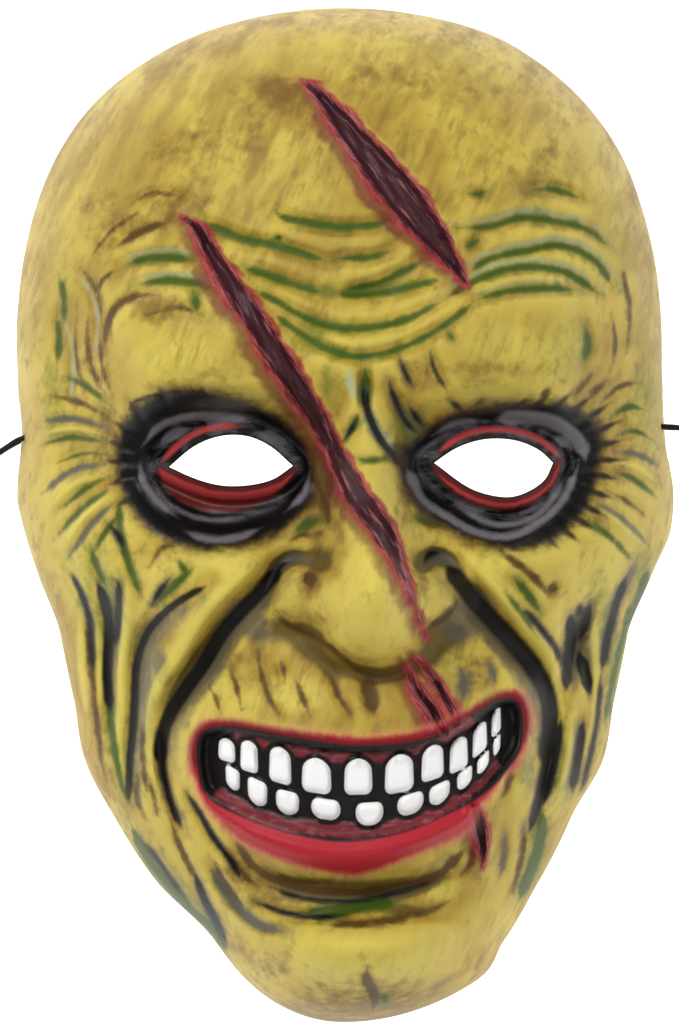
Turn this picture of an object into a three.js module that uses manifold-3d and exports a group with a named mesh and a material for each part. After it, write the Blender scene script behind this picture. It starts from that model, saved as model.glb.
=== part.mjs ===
// Zombie mask: a hollow moulded face shell with two cut eyes, held on the head by a thin elastic.
// Millimetres. +Z comes out of the face, +Y points to the crown, +X to the viewer's right.
// The mask lies face up on its flat rim, which is the plane z = 0.

import * as THREE from 'three';
import { mergeVertices } from 'three/addons/utils/BufferGeometryUtils.js';
import Module from 'manifold-3d';

const wasm = await Module();
wasm.setup();

// Driving sizes of the shell
const WIDTH = 184; // rim to rim across the cheeks
const HEIGHT = 284; // chin to crown
const DEPTH = 108; // rim plane to nose tip
const WALL = 2.5; // thickness of the moulded wall

// Eye cut-outs, cord holes and ear arches
const EYE_CUT_OVER = 10; // the cutting block stands this far past the nose
const ARCH_LONG = 20; // length of the shallow arch in the rim at each ear
const ARCH_HIGH = 4; // its height above the rim plane

// Elastic
const CORD_DIAMETER = 1.5;
const CORD_GAP = 0.45; // clearance round the cord in its hole
const CORD_SIDES = 8;
const CORD_STEPS = 78;
const KNOT_DIAMETER = 4.6;
const SEAT_GAP = 0.3; // knot to wall, and cord to knot
const TEMPLE_HIGH = 12; // cord holes above the rim plane
const LEFT_TEMPLE = 0.576; // share of HEIGHT of each cord hole
const RIGHT_TEMPLE = 0.587;

// Route of the elastic from knot to knot, in millimetres: out through the left temple, down
// and back in under the ear arch, loosely across the floor, and up again on the right.
const CORD_ROUTE = [
  [-87.2, 21.6, 12], [-90.2, 21.4, 12], [-94.6, 18.9, 12], [-97.9, 16.6, 10.4],
  [-99.3, 15.7, 6.4], [-97.9, 16.6, 2.45], [-94.6, 18.8, 0.92], [-90.2, 21.2, 0.92],
  [-84.5, 24.2, 0.92], [-78, 30.5, 0.92], [-72, 40, 0.92], [-63.5, 51, 0.92],
  [-51, 59.5, 0.92], [-36, 63, 0.92], [-21, 61, 0.92], [-9, 54, 0.92], [3, 47, 0.92],
  [18, 45.5, 0.92], [32, 51, 0.92], [44, 59.5, 0.92], [57, 62.5, 0.92], [67.5, 56, 0.92],
  [73.5, 45, 0.92], [77.5, 34.5, 0.92], [82.5, 27.6, 0.92], [88.5, 24.8, 0.92],
  [93.5, 24.4, 0.92], [97.5, 24, 2.45], [99.1, 23.9, 6.4], [97.5, 24, 10.4], [93.5, 24.4, 12],
  [89.2, 24.7, 12], [86.1, 24.7, 12],
];

// Fineness of the faceted walls
const OUTER_GRID = { across: 54, up: 62 };
const INNER_GRID = { across: 32, up: 36 };
const RIM_CROWDING = 0.3; // how much the rows close up towards the rim
const RELIEF_FADE = 0.16; // relief dies away over this share of the radius at the rim
const RELIEF_ROUND = 2.5; // how full a mound or fold is before it drops to its foot
const FOLD_PIECES = 14; // straight pieces in the path of a fold
const FOLD_END = 0.04; // a fold swells as half a wave, less this share at each end
const SLOPE_STEP = 2e-3; // step on the unit square over which a slope is taken
const LID_SIDES = 10;
const HOLE_SIDES = 12;
const ARCH_SIDES = 8;
const KNOT_GRID = { around: 10, up: 6 };
const WELD = 1e-4; // corners closer than this are one

// Cross-sections of the plain dome, chin to crown. y is a share of HEIGHT, left and right are
// the rim's reach as shares of WIDTH, depth is the section's crest as a share of DEPTH, and
// round is the exponent of its arch: 2 is an ellipse, more is squarer.
const SECTIONS = [
  { y: 0.012, left: -0.082, right: 0.113, depth: 0.36, round: 2.3 },
  { y: 0.04, left: -0.145, right: 0.202, depth: 0.52, round: 2.4 },
  { y: 0.08, left: -0.196, right: 0.246, depth: 0.59, round: 2.5 },
  { y: 0.14, left: -0.287, right: 0.301, depth: 0.62, round: 2.5 },
  { y: 0.2, left: -0.348, right: 0.348, depth: 0.64, round: 2.4 },
  { y: 0.26, left: -0.396, right: 0.399, depth: 0.65, round: 2.3 },
  { y: 0.32, left: -0.413, right: 0.416, depth: 0.655, round: 2.2 },
  { y: 0.38, left: -0.432, right: 0.435, depth: 0.66, round: 2.2 },
  { y: 0.44, left: -0.466, right: 0.472, depth: 0.665, round: 2.2 },
  { y: 0.49, left: -0.49, right: 0.503, depth: 0.67, round: 2.2 },
  { y: 0.52, left: -0.499, right: 0.506, depth: 0.675, round: 2.2 },
  { y: 0.57, left: -0.494, right: 0.495, depth: 0.685, round: 2.2 },
  { y: 0.63, left: -0.498, right: 0.489, depth: 0.7, round: 2.3 },
  { y: 0.68, left: -0.5, right: 0.488, depth: 0.71, round: 2.3 },
  { y: 0.74, left: -0.492, right: 0.48, depth: 0.71, round: 2.3 },
  { y: 0.8, left: -0.472, right: 0.459, depth: 0.695, round: 2.3 },
  { y: 0.86, left: -0.433, right: 0.422, depth: 0.65, round: 2.3 },
  { y: 0.91, left: -0.375, right: 0.365, depth: 0.58, round: 2.3 },
  { y: 0.95, left: -0.295, right: 0.292, depth: 0.49, round: 2.3 },
  { y: 0.985, left: -0.17, right: 0.174, depth: 0.31, round: 2.2 },
];

// Mounds and hollows on the dome. x and y place the crest, wide, above and below are its
// reach sideways, up and down, and rise is its height: shares of WIDTH, HEIGHT and DEPTH.
const MOUNDS = [
  { name: 'left brow', x: -0.22, y: 0.655, wide: 0.25, above: 0.11, below: 0.08, rise: 0.09 },
  { name: 'right brow', x: 0.25, y: 0.655, wide: 0.24, above: 0.11, below: 0.08, rise: 0.09 },
  { name: 'frown', x: 0.025, y: 0.63, wide: 0.11, above: 0.09, below: 0.07, rise: 0.06 },
  { name: 'left socket', x: -0.165, y: 0.545, wide: 0.19, above: 0.085, below: 0.085, rise: -0.16 },
  { name: 'right socket', x: 0.23, y: 0.545, wide: 0.19, above: 0.085, below: 0.085, rise: -0.16 },
  { name: 'left lids', x: -0.17, y: 0.55, wide: 0.125, above: 0.05, below: 0.06, rise: 0.09 },
  { name: 'right lids', x: 0.235, y: 0.548, wide: 0.125, above: 0.05, below: 0.06, rise: 0.09 },
  { name: 'left cheekbone', x: -0.32, y: 0.47, wide: 0.14, above: 0.07, below: 0.1, rise: 0.05 },
  { name: 'right cheekbone', x: 0.37, y: 0.47, wide: 0.14, above: 0.07, below: 0.1, rise: 0.05 },
  { name: 'left cheek', x: -0.2, y: 0.44, wide: 0.13, above: 0.05, below: 0.09, rise: 0.08 },
  { name: 'right cheek', x: 0.27, y: 0.445, wide: 0.13, above: 0.05, below: 0.09, rise: 0.08 },
  { name: 'left hollow', x: -0.37, y: 0.33, wide: 0.1, above: 0.1, below: 0.13, rise: -0.05 },
  { name: 'right hollow', x: 0.39, y: 0.33, wide: 0.1, above: 0.1, below: 0.13, rise: -0.05 },
  { name: 'left temple', x: -0.41, y: 0.62, wide: 0.12, above: 0.12, below: 0.1, rise: -0.05 },
  { name: 'right temple', x: 0.42, y: 0.62, wide: 0.12, above: 0.12, below: 0.1, rise: -0.05 },
  { name: 'muzzle', x: 0.025, y: 0.28, wide: 0.34, above: 0.12, below: 0.16, rise: 0.11 },
  { name: 'nose root', x: 0.04, y: 0.56, wide: 0.065, above: 0.07, below: 0.12, rise: 0.09 },
  { name: 'nose bridge', x: 0.043, y: 0.48, wide: 0.095, above: 0.13, below: 0.12, rise: 0.13 },
  { name: 'nose flanks', x: 0.044, y: 0.435, wide: 0.17, above: 0.11, below: 0.08, rise: 0.07 },
  { name: 'nose tip', x: 0.046, y: 0.393, wide: 0.115, above: 0.09, below: 0.054, rise: 0.2 },
  { name: 'left wing', x: -0.06, y: 0.422, wide: 0.068, above: 0.04, below: 0.044, rise: 0.075 },
  { name: 'right wing', x: 0.146, y: 0.424, wide: 0.068, above: 0.04, below: 0.044, rise: 0.075 },
  { name: 'chin', x: 0.04, y: 0.065, wide: 0.2, above: 0.055, below: 0.07, rise: 0.12 },
  { name: 'lower jaw', x: 0.03, y: 0.13, wide: 0.24, above: 0.04, below: 0.04, rise: -0.03 },
];

// Ridges and grooves. Each path runs from one end past its bend point to the other end, with
// wide as its half width, a share of WIDTH, and rise as a share of DEPTH.
const FOLDS = [
  { name: 'upper lip', path: [[-0.22, 0.29], [0.03, 0.27], [0.27, 0.325]], wide: 0.024, rise: 0.028 },
  { name: 'lower lip', path: [[-0.21, 0.225], [0.03, 0.09], [0.26, 0.26]], wide: 0.036, rise: 0.035 },
  { name: 'mouth', path: [[-0.2, 0.26], [0.03, 0.19], [0.25, 0.295]], wide: 0.055, rise: -0.055 },
  { name: 'teeth', path: [[-0.18, 0.262], [0.03, 0.19], [0.23, 0.29]], wide: 0.036, rise: 0.032 },
  { name: 'left smile', path: [[-0.105, 0.45], [-0.31, 0.36], [-0.26, 0.2]], wide: 0.038, rise: -0.055 },
  { name: 'right smile', path: [[0.178, 0.445], [0.38, 0.34], [0.28, 0.2]], wide: 0.038, rise: -0.055 },
  { name: 'left cheek', path: [[-0.17, 0.45], [-0.34, 0.38], [-0.33, 0.22]], wide: 0.028, rise: -0.033 },
  { name: 'left jaw', path: [[-0.4, 0.46], [-0.35, 0.39], [-0.36, 0.31]], wide: 0.026, rise: -0.028 },
  { name: 'left ear', path: [[-0.445, 0.475], [-0.385, 0.4], [-0.38, 0.31]], wide: 0.014, rise: -0.01 },
  { name: 'right cheek', path: [[0.23, 0.435], [0.3, 0.4], [0.335, 0.34]], wide: 0.02, rise: -0.02 },
  { name: 'right jaw', path: [[0.345, 0.42], [0.355, 0.37], [0.38, 0.31]], wide: 0.025, rise: -0.028 },
  { name: 'right ear', path: [[0.455, 0.465], [0.41, 0.4], [0.393, 0.33]], wide: 0.02, rise: -0.018 },
  { name: 'left chin', path: [[-0.25, 0.26], [-0.23, 0.11], [-0.06, 0.097]], wide: 0.022, rise: -0.02 },
  { name: 'right chin', path: [[0.37, 0.3], [0.36, 0.2], [0.263, 0.108]], wide: 0.022, rise: -0.015 },
  { name: 'under lip', path: [[-0.12, 0.142], [0.03, 0.118], [0.19, 0.173]], wide: 0.024, rise: -0.024 },
  { name: 'brow 1', path: [[-0.113, 0.8], [-0.01, 0.77], [0.07, 0.786]], wide: 0.026, rise: -0.012 },
  { name: 'brow 2', path: [[0.17, 0.78], [0.28, 0.8], [0.407, 0.76]], wide: 0.026, rise: -0.014 },
  { name: 'brow 3', path: [[-0.235, 0.79], [-0.07, 0.725], [0.08, 0.759]], wide: 0.026, rise: -0.014 },
  { name: 'brow 4', path: [[-0.34, 0.74], [-0.22, 0.765], [-0.06, 0.72]], wide: 0.026, rise: -0.014 },
  { name: 'brow 5', path: [[0.1, 0.742], [0.31, 0.79], [0.415, 0.72]], wide: 0.026, rise: -0.016 },
  { name: 'brow 6', path: [[-0.18, 0.718], [0, 0.655], [0.17, 0.718]], wide: 0.026, rise: -0.016 },
  { name: 'brow 7', path: [[0.17, 0.718], [0.28, 0.765], [0.395, 0.714]], wide: 0.026, rise: -0.014 },
  { name: 'long wound', path: [[-0.245, 0.79], [-0.08, 0.62], [0.02, 0.52]], wide: 0.03, rise: 0.014 },
  { name: 'top wound', path: [[-0.06, 0.925], [0.07, 0.83], [0.19, 0.722]], wide: 0.036, rise: 0.014 },
];

// Eye cut-outs. Each lid is one curve between the corners, pulled towards two points.
const EYES = [
  {
    name: 'left',
    start: [-0.263, 0.547],
    upper: [[-0.235, 0.578], [-0.135, 0.602]],
    end: [-0.074, 0.549],
    lower: [[-0.1, 0.52], [-0.2, 0.515]],
  },
  {
    name: 'right',
    start: [0.138, 0.551],
    upper: [[0.19, 0.582], [0.285, 0.584]],
    end: [0.319, 0.55],
    lower: [[0.295, 0.505], [0.2, 0.502]],
  },
];

const clamp = (value) => Math.min(1, Math.max(0, value));
const ease = (value) => clamp(value) ** 2 * (3 - 2 * clamp(value));
const bump = (distance) => (distance < 1 ? (1 - distance ** RELIEF_ROUND) ** 2 : 0);

// The face is drawn from its own axis, which lies a little beside the middle of the rim. The
// two widest sections reach the full WIDTH.
const RIGHT_END = Math.max(...SECTIONS.map((row) => row.right));
const LEFT_END = Math.min(...SECTIONS.map((row) => row.left));
const toX = (share) => ((share - (RIGHT_END + LEFT_END) / 2) / (RIGHT_END - LEFT_END)) * WIDTH;
const toY = (share) => (share - 0.5) * HEIGHT;

// How far a half circle over the height reaches at a share of it. The sections are kept as
// shares of this reach, so that the form closes smoothly at the chin and the crown.
const circle = (y) => Math.sqrt(Math.max(0, 1 - (2 * y - 1) ** 2));

// A smooth curve through one column of the sections that never overshoots a row.
function column(read) {
  const at = SECTIONS.map((row) => row.y);
  const value = SECTIONS.map(read);
  const slope = at.map((_, i) => {
    if (i === 0 || i === at.length - 1) return 0;
    const before = (value[i] - value[i - 1]) / (at[i] - at[i - 1]);
    const after = (value[i + 1] - value[i]) / (at[i + 1] - at[i]);
    return before * after > 0 ? (2 * before * after) / (before + after) : 0;
  });
  return (y) => {
    if (y <= at[0]) return value[0];
    const next = at.findIndex((row) => row >= y);
    if (next < 0) return value[at.length - 1];
    const i = next - 1;
    const gap = at[next] - at[i];
    const t = (y - at[i]) / gap;
    const left = slope[i] * gap * t * (1 - t) ** 2;
    const right = slope[next] * gap * t ** 2 * (1 - t);
    return value[i] + (value[next] - value[i]) * ease(t) + left - right;
  };
}
const leftOf = column((row) => row.left / circle(row.y));
const rightOf = column((row) => row.right / circle(row.y));
const depthOf = column((row) => row.depth / circle(row.y));
const roundOf = column((row) => row.round);

// Points along a fold in millimetres on the front view
function along({ path }) {
  const [from, bend, to] = path.map(([x, y]) => new THREE.Vector2(toX(x), toY(y)));
  return new THREE.QuadraticBezierCurve(from, bend, to).getPoints(FOLD_PIECES);
}
const TRACED = FOLDS.map((fold) => ({ ...fold, points: along(fold) }));

// Height that one fold adds at a place, dying away at its sides and its two ends
function foldRise({ points, wide, rise }, x, y) {
  const reach = wide * WIDTH;
  let nearest = Infinity;
  let share = 0;
  for (let i = 1; i < points.length; i += 1) {
    const [p, q] = [points[i - 1], points[i]];
    const [dx, dy] = [q.x - p.x, q.y - p.y];
    const t = clamp(((x - p.x) * dx + (y - p.y) * dy) / (dx * dx + dy * dy));
    const distance = Math.hypot(x - p.x - t * dx, y - p.y - t * dy);
    if (distance < nearest) {
      nearest = distance;
      share = (i - 1 + t) / (points.length - 1);
    }
  }
  const ends = Math.sqrt(Math.sin(Math.PI * (FOLD_END + (1 - 2 * FOLD_END) * share)));
  return rise * DEPTH * bump(nearest / reach) * ends;
}

function moundRise({ x, y, wide, above, below, rise }, xShare, yShare) {
  const up = yShare - y;
  const distance = Math.hypot((xShare - x) / wide, up / (up > 0 ? above : below));
  return rise * DEPTH * bump(distance);
}

// The outer surface over a square from -1 to 1. The square is pressed into a disc, and the
// disc is stretched over the sections. Folds are left out where only the main form is asked.
function surface(u, v, withFolds) {
  let a = u * Math.sqrt(1 - (v * v) / 2);
  let b = v * Math.sqrt(1 - (u * u) / 2);
  const radius = Math.hypot(a, b);
  const crowd = 1 + RIM_CROWDING * (1 - radius * radius);
  a *= crowd;
  b *= crowd;
  const ySha = (1 + b) / 2;
  const reach = circle(ySha);
  const [left, right] = [leftOf(ySha), rightOf(ySha)];
  const xSha = (reach * (left + right)) / 2 + (a * (right - left)) / 2;
  const across = reach > 1e-6 ? Math.min(1, Math.abs(a) / reach) : 0;
  const onRim = Math.abs(u) === 1 || Math.abs(v) === 1;
  const dome = onRim ? 0 : DEPTH * reach * depthOf(ySha) * Math.sqrt(1 - across ** roundOf(ySha));
  const fade = ease((1 - radius * crowd) / RELIEF_FADE);
  const [x, y] = [toX(xSha), toY(ySha)];
  let relief = 0;
  if (fade > 0) {
    for (const mound of MOUNDS) relief += moundRise(mound, xSha, ySha);
    if (withFolds) for (const fold of TRACED) relief += foldRise(fold, x, y);
  }
  return new THREE.Vector3(x, y, dome + relief * fade);
}

// The outward direction of the main form. At the rim it lies flat.
function outward(u, v) {
  const step = SLOPE_STEP;
  const [cu, cv] = [u, v].map((value) => Math.min(1 - 2 * step, Math.max(2 * step - 1, value)));
  const du = surface(cu + step, cv, false).sub(surface(cu - step, cv, false));
  const dv = surface(cu, cv + step, false).sub(surface(cu, cv - step, false));
  const normal = du.cross(dv);
  if (Math.abs(u) === 1 || Math.abs(v) === 1) normal.z = 0;
  return normal.normalize();
}
const insideOf = (u, v) => surface(u, v, false).addScaledVector(outward(u, v), -WALL);

// One wall: a grid of points, its triangles, and the loop of its edge from corner to corner
function wall({ across, up }, pointAt) {
  const points = [];
  const faces = [];
  const index = (i, j) => j * (across + 1) + i;
  const shareOf = (i, count) => (2 * i) / count - 1;
  for (let j = 0; j <= up; j += 1) {
    for (let i = 0; i <= across; i += 1) points.push(pointAt(shareOf(i, across), shareOf(j, up)));
  }
  for (let j = 0; j < up; j += 1) {
    for (let i = 0; i < across; i += 1) {
      const [a, b, c, d] = [index(i, j), index(i + 1, j), index(i + 1, j + 1), index(i, j + 1)];
      const rising = (i < across / 2) === (j < up / 2);
      if (rising) faces.push([a, b, c], [a, c, d]);
      else faces.push([a, b, d], [b, c, d]);
    }
  }
  const edge = [];
  for (let i = 0; i < across; i += 1) edge.push({ at: i / across, index: index(i, 0) });
  for (let j = 0; j < up; j += 1) edge.push({ at: 1 + j / up, index: index(across, j) });
  for (let i = 0; i < across; i += 1) edge.push({ at: 2 + i / across, index: index(across - i, up) });
  for (let j = 0; j < up; j += 1) edge.push({ at: 3 + j / up, index: index(0, up - j) });
  return { points, faces, edge };
}

// The closed shell: outer wall, inner wall turned over, and the flat rim that joins them
function closedShell() {
  const outer = wall(OUTER_GRID, (u, v) => surface(u, v, true));
  const inner = wall(INNER_GRID, insideOf);
  const shift = outer.points.length;
  const faces = [...outer.faces, ...inner.faces.map(([a, b, c]) => [a + shift, c + shift, b + shift])];
  const next = (edge, i) => (i + 1 < edge.length ? edge[i + 1].at : 4);
  const pick = (edge, i) => edge[i % edge.length].index;
  let [i, j] = [0, 0];
  while (i < outer.edge.length || j < inner.edge.length) {
    const outerFirst = j >= inner.edge.length
      || (i < outer.edge.length && next(outer.edge, i) <= next(inner.edge, j));
    const [here, there] = [pick(outer.edge, i), pick(inner.edge, j) + shift];
    if (outerFirst) {
      faces.push([here, there, pick(outer.edge, i + 1)]);
      i += 1;
    } else {
      faces.push([here, there, pick(inner.edge, j + 1) + shift]);
      j += 1;
    }
  }
  const points = [...outer.points, ...inner.points];
  return new wasm.Manifold(
    new wasm.Mesh({
      numProp: 3,
      vertProperties: new Float32Array(points.flatMap((p) => [p.x, p.y, p.z])),
      triVerts: new Uint32Array(faces.flat()),
    }),
  );
}

function toSolid(geometry) {
  const bare = geometry.clone();
  bare.deleteAttribute('normal');
  bare.deleteAttribute('uv');
  const merged = mergeVertices(bare, WELD);
  return new wasm.Manifold(
    new wasm.Mesh({
      numProp: 3,
      vertProperties: new Float32Array(merged.attributes.position.array),
      triVerts: new Uint32Array(merged.index.array),
    }),
  );
}

function toGeometry(solid) {
  const mesh = solid.getMesh();
  const geometry = new THREE.BufferGeometry();
  geometry.setAttribute('position', new THREE.BufferAttribute(mesh.vertProperties, 3));
  geometry.setIndex(new THREE.BufferAttribute(mesh.triVerts, 1));
  const shown = geometry.toNonIndexed();
  shown.computeVertexNormals();
  return shown;
}

function eyeCut({ start, upper, end, lower }) {
  const flat = ([x, y]) => [toX(x), toY(y)];
  const outline = new THREE.Shape();
  outline.moveTo(...flat(start));
  outline.bezierCurveTo(...flat(upper[0]), ...flat(upper[1]), ...flat(end));
  outline.bezierCurveTo(...flat(lower[0]), ...flat(lower[1]), ...flat(start));
  return toSolid(
    new THREE.ExtrudeGeometry(outline, {
      depth: DEPTH + EYE_CUT_OVER,
      curveSegments: LID_SIDES,
      bevelEnabled: false,
    }),
  );
}

// Where the outer wall stands at a height above the rim on one side of a section
function wallAt(yShare, high, side) {
  const reach = circle(yShare);
  const tall = DEPTH * reach * depthOf(yShare);
  const across = (1 - (high / tall) ** 2) ** (1 / roundOf(yShare));
  const [left, right] = [leftOf(yShare) * reach, rightOf(yShare) * reach];
  return toX((left + right) / 2 + (side * across * (right - left)) / 2);
}

const TEMPLES = [
  { name: 'left', side: -1, y: LEFT_TEMPLE },
  { name: 'right', side: 1, y: RIGHT_TEMPLE },
].map((temple) => ({ ...temple, x: wallAt(temple.y, TEMPLE_HIGH, temple.side) }));

const CUT_REACH = 8 * WALL;

function cordHole({ x, y }) {
  const radius = CORD_DIAMETER / 2 + CORD_GAP;
  const pin = new THREE.CylinderGeometry(radius, radius, CUT_REACH, HOLE_SIDES);
  pin.rotateZ(Math.PI / 2);
  pin.translate(x, toY(y), TEMPLE_HIGH);
  return toSolid(pin);
}

function earArch({ side, y }) {
  const outline = new THREE.Shape();
  outline.moveTo(-ARCH_LONG / 2, -ARCH_HIGH);
  outline.lineTo(ARCH_LONG / 2, -ARCH_HIGH);
  outline.lineTo(ARCH_LONG / 2, 0);
  outline.absellipse(0, 0, ARCH_LONG / 2, ARCH_HIGH, 0, Math.PI, false);
  const block = new THREE.ExtrudeGeometry(outline, {
    depth: CUT_REACH,
    curveSegments: ARCH_SIDES,
    bevelEnabled: false,
  });
  block.rotateX(Math.PI / 2);
  block.rotateZ(Math.PI / 2);
  block.translate(wallAt(y, 0, side) - CUT_REACH / 2, toY(y), 0);
  return toSolid(block);
}

function maskShell() {
  let solid = closedShell();
  for (const eye of EYES) solid = solid.subtract(eyeCut(eye));
  for (const temple of TEMPLES) {
    solid = solid.subtract(cordHole(temple));
    solid = solid.subtract(earArch(temple));
  }
  return toGeometry(solid);
}

function addPiece(group, name, geometry, color, roughness) {
  const material = new THREE.MeshStandardMaterial({ color, roughness, metalness: 0 });
  const piece = new THREE.Mesh(geometry, material);
  piece.name = name;
  group.add(piece);
}

// A stop knot, drawn up against the inside of the wall at its hole
function knot({ x, y, side }) {
  const ball = new THREE.SphereGeometry(KNOT_DIAMETER / 2, KNOT_GRID.around, KNOT_GRID.up);
  ball.translate(x - side * (WALL + SEAT_GAP + KNOT_DIAMETER / 2), toY(y), TEMPLE_HIGH);
  return ball;
}

function elasticCord() {
  const points = CORD_ROUTE.map((point) => new THREE.Vector3(...point));
  const route = new THREE.CatmullRomCurve3(points, false, 'centripetal');
  const section = new THREE.Shape();
  section.absarc(0, 0, CORD_DIAMETER / 2, 0, 2 * Math.PI, false);
  return new THREE.ExtrudeGeometry(section, {
    steps: CORD_STEPS,
    curveSegments: CORD_SIDES / 2,
    extrudePath: route,
    bevelEnabled: false,
  });
}

const mask = new THREE.Group();
addPiece(mask, 'mask_shell', maskShell(), 0xc5a84f, 0.55);
addPiece(mask, 'elastic_cord', elasticCord(), 0x17181a, 0.85);
for (const temple of TEMPLES) addPiece(mask, `knot_${temple.name}`, knot(temple), 0x17181a, 0.85);

export default mask;
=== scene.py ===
"""Zombie mask: the looks of its painted face shell and of its thin elastic.

+Z comes out of the face, +Y points to the crown and +X to the viewer's right. The mask lies face
up on its rim. The face is drawn in percent: x of the mask's width from its middle, y of its height
from the chin. Reliefs and paint widths are in millimetres, and the scene itself is in metres.
"""

import logging
import math
from collections.abc import Callable
from dataclasses import dataclass
from enum import Enum
from functools import partial

import bpy
import numpy as np
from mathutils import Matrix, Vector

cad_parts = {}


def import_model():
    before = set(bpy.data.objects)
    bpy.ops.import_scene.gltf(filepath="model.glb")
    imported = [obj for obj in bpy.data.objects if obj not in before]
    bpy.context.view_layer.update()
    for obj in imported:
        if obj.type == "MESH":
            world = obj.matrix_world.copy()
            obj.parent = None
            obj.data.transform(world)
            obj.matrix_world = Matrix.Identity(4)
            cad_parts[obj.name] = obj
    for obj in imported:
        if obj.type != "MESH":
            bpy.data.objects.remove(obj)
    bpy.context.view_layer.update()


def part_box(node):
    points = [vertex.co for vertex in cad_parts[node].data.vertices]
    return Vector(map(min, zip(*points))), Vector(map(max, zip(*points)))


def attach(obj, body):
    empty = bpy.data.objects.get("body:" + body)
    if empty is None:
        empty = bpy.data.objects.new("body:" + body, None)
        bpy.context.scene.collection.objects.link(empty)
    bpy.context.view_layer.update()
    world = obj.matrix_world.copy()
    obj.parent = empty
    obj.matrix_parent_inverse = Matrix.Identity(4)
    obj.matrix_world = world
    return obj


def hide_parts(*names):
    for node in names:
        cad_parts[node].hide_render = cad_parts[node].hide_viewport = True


LOG = logging.getLogger("zombie_mask")

MM = 0.001
WIDTH = 184.0
HEIGHT = 284.0
DEPTH = 108.0
WALL = 2.5
LEFT_END = -0.5
RIGHT_END = 0.506

Array = np.ndarray
Place = tuple[float, float]
Point = tuple[float, float, float]


class Ink(Enum):
    """The paints that are brushed into the face by hand; the light and the pale inks are painted highlights.
    """

    BLACK = "black"
    GREEN = "green"
    BROWN = "brown"
    GREY = "grey"
    RED = "red"
    # painted highlight: pale grey-green along the creases' upper edges and in pale strokes
    PALE = "pale"
    # painted highlight: bright yellow on ridges, crests and highlight patches
    LIGHT = "light"


# Small helpers of shape


def ease(value: Array) -> Array:
    """Eases a value from 0 to 1, level at both ends."""
    held = np.clip(value, 0.0, 1.0)
    return held * held * (3.0 - 2.0 * held)


def bump(distance: Array) -> Array:
    """Rounds a mound off: 1 at its crest and 0 from a distance of 1."""
    held = np.clip(distance, 0.0, 1.0)
    return (1.0 - held**2.5) ** 2


def to_x(percent: Array | float) -> Array | float:
    """Turns percent of the width into millimetres."""
    return (percent / 100 - (RIGHT_END + LEFT_END) / 2) / (RIGHT_END - LEFT_END) * WIDTH


def to_y(percent: Array | float) -> Array | float:
    """Turns percent of the height into millimetres."""
    return (percent / 100 - 0.5) * HEIGHT


def front(places: tuple[Place, ...]) -> Array:
    """Turns places on the face into millimetres on the front view."""
    table = np.array(places, dtype=float)
    return np.column_stack((to_x(table[:, 0]), to_y(table[:, 1])))


def smooth_line(points: Array, closed: bool = False, steps: int = 6) -> Array:
    """Draws a smooth curve through points.

    Args:
        points: the places it passes, one row each.
        closed: whether it runs back to its start.
        steps: how many short pieces lie between two places.

    Returns:
        The points of the finer line.
    """
    if closed:
        ring = np.vstack((points[-1], points, points[0], points[1]))
    else:
        ring = np.vstack((2 * points[0] - points[1], points, 2 * points[-1] - points[-2]))
    shares = np.linspace(0, 1, steps, endpoint=False)[:, None]
    pieces = []
    for i in range(1, len(ring) - 2):
        before, start, end, after = ring[i - 1], ring[i], ring[i + 1], ring[i + 2]
        pieces.append(
            0.5
            * (
                2 * start
                + (end - before) * shares
                + (2 * before - 5 * start + 4 * end - after) * shares**2
                + (3 * start - before - 3 * end + after) * shares**3
            )
        )
    if not closed:
        pieces.append(points[-1:])
    return np.vstack(pieces)


def blurred(height: Array, reach: int) -> Array:
    """Blurs a raster twice over a square of a reach."""
    for _ in range(2):
        for axis in (0, 1):
            margin = [(reach + 1, reach) if a == axis else (0, 0) for a in (0, 1)]
            padded = np.pad(height, margin, mode="edge")
            total = np.cumsum(padded, axis=axis)
            span = 2 * reach + 1
            high = np.take(total, range(span, total.shape[axis]), axis=axis)
            low = np.take(total, range(0, total.shape[axis] - span), axis=axis)
            height = (high - low) / span
    return height


@dataclass
class Nearness:
    """Where places lie from a line: which of them are near, how far, on which side, how far along."""

    near: Array
    distance: Array
    side: Array
    along: Array


def nearness(x: Array, y: Array, line: Array, reach: float) -> Nearness:
    """Measures places against a line, leaving out those beyond its reach.

    Args:
        x: places across, in millimetres.
        y: places up, in millimetres.
        line: the line's points.
        reach: the largest distance that matters.

    Returns:
        The near places with their distances, sides (above a line that runs right is +1) and
        shares of the line's length.
    """
    low, high = line.min(axis=0) - reach, line.max(axis=0) + reach
    near = np.nonzero((x > low[0]) & (x < high[0]) & (y > low[1]) & (y < high[1]))[0]
    px, py = x[near], y[near]
    best = np.full(len(near), np.inf)
    side = np.ones(len(near))
    along = np.zeros(len(near))
    lengths = np.hypot(*np.diff(line, axis=0).T)
    total = lengths.sum()
    travelled = 0.0
    for (ax, ay), (bx, by), length in zip(line[:-1], line[1:], lengths):
        dx, dy = bx - ax, by - ay
        share = np.clip(((px - ax) * dx + (py - ay) * dy) / max(length**2, 1e-9), 0, 1)
        distance = np.hypot(px - ax - share * dx, py - ay - share * dy)
        closer = distance < best
        best = np.where(closer, distance, best)
        side = np.where(closer, np.sign(dx * (py - ay) - dy * (px - ax)), side)
        along = np.where(closer, (travelled + share * length) / total, along)
        travelled += length
    return Nearness(near, best, side, along)


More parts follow.
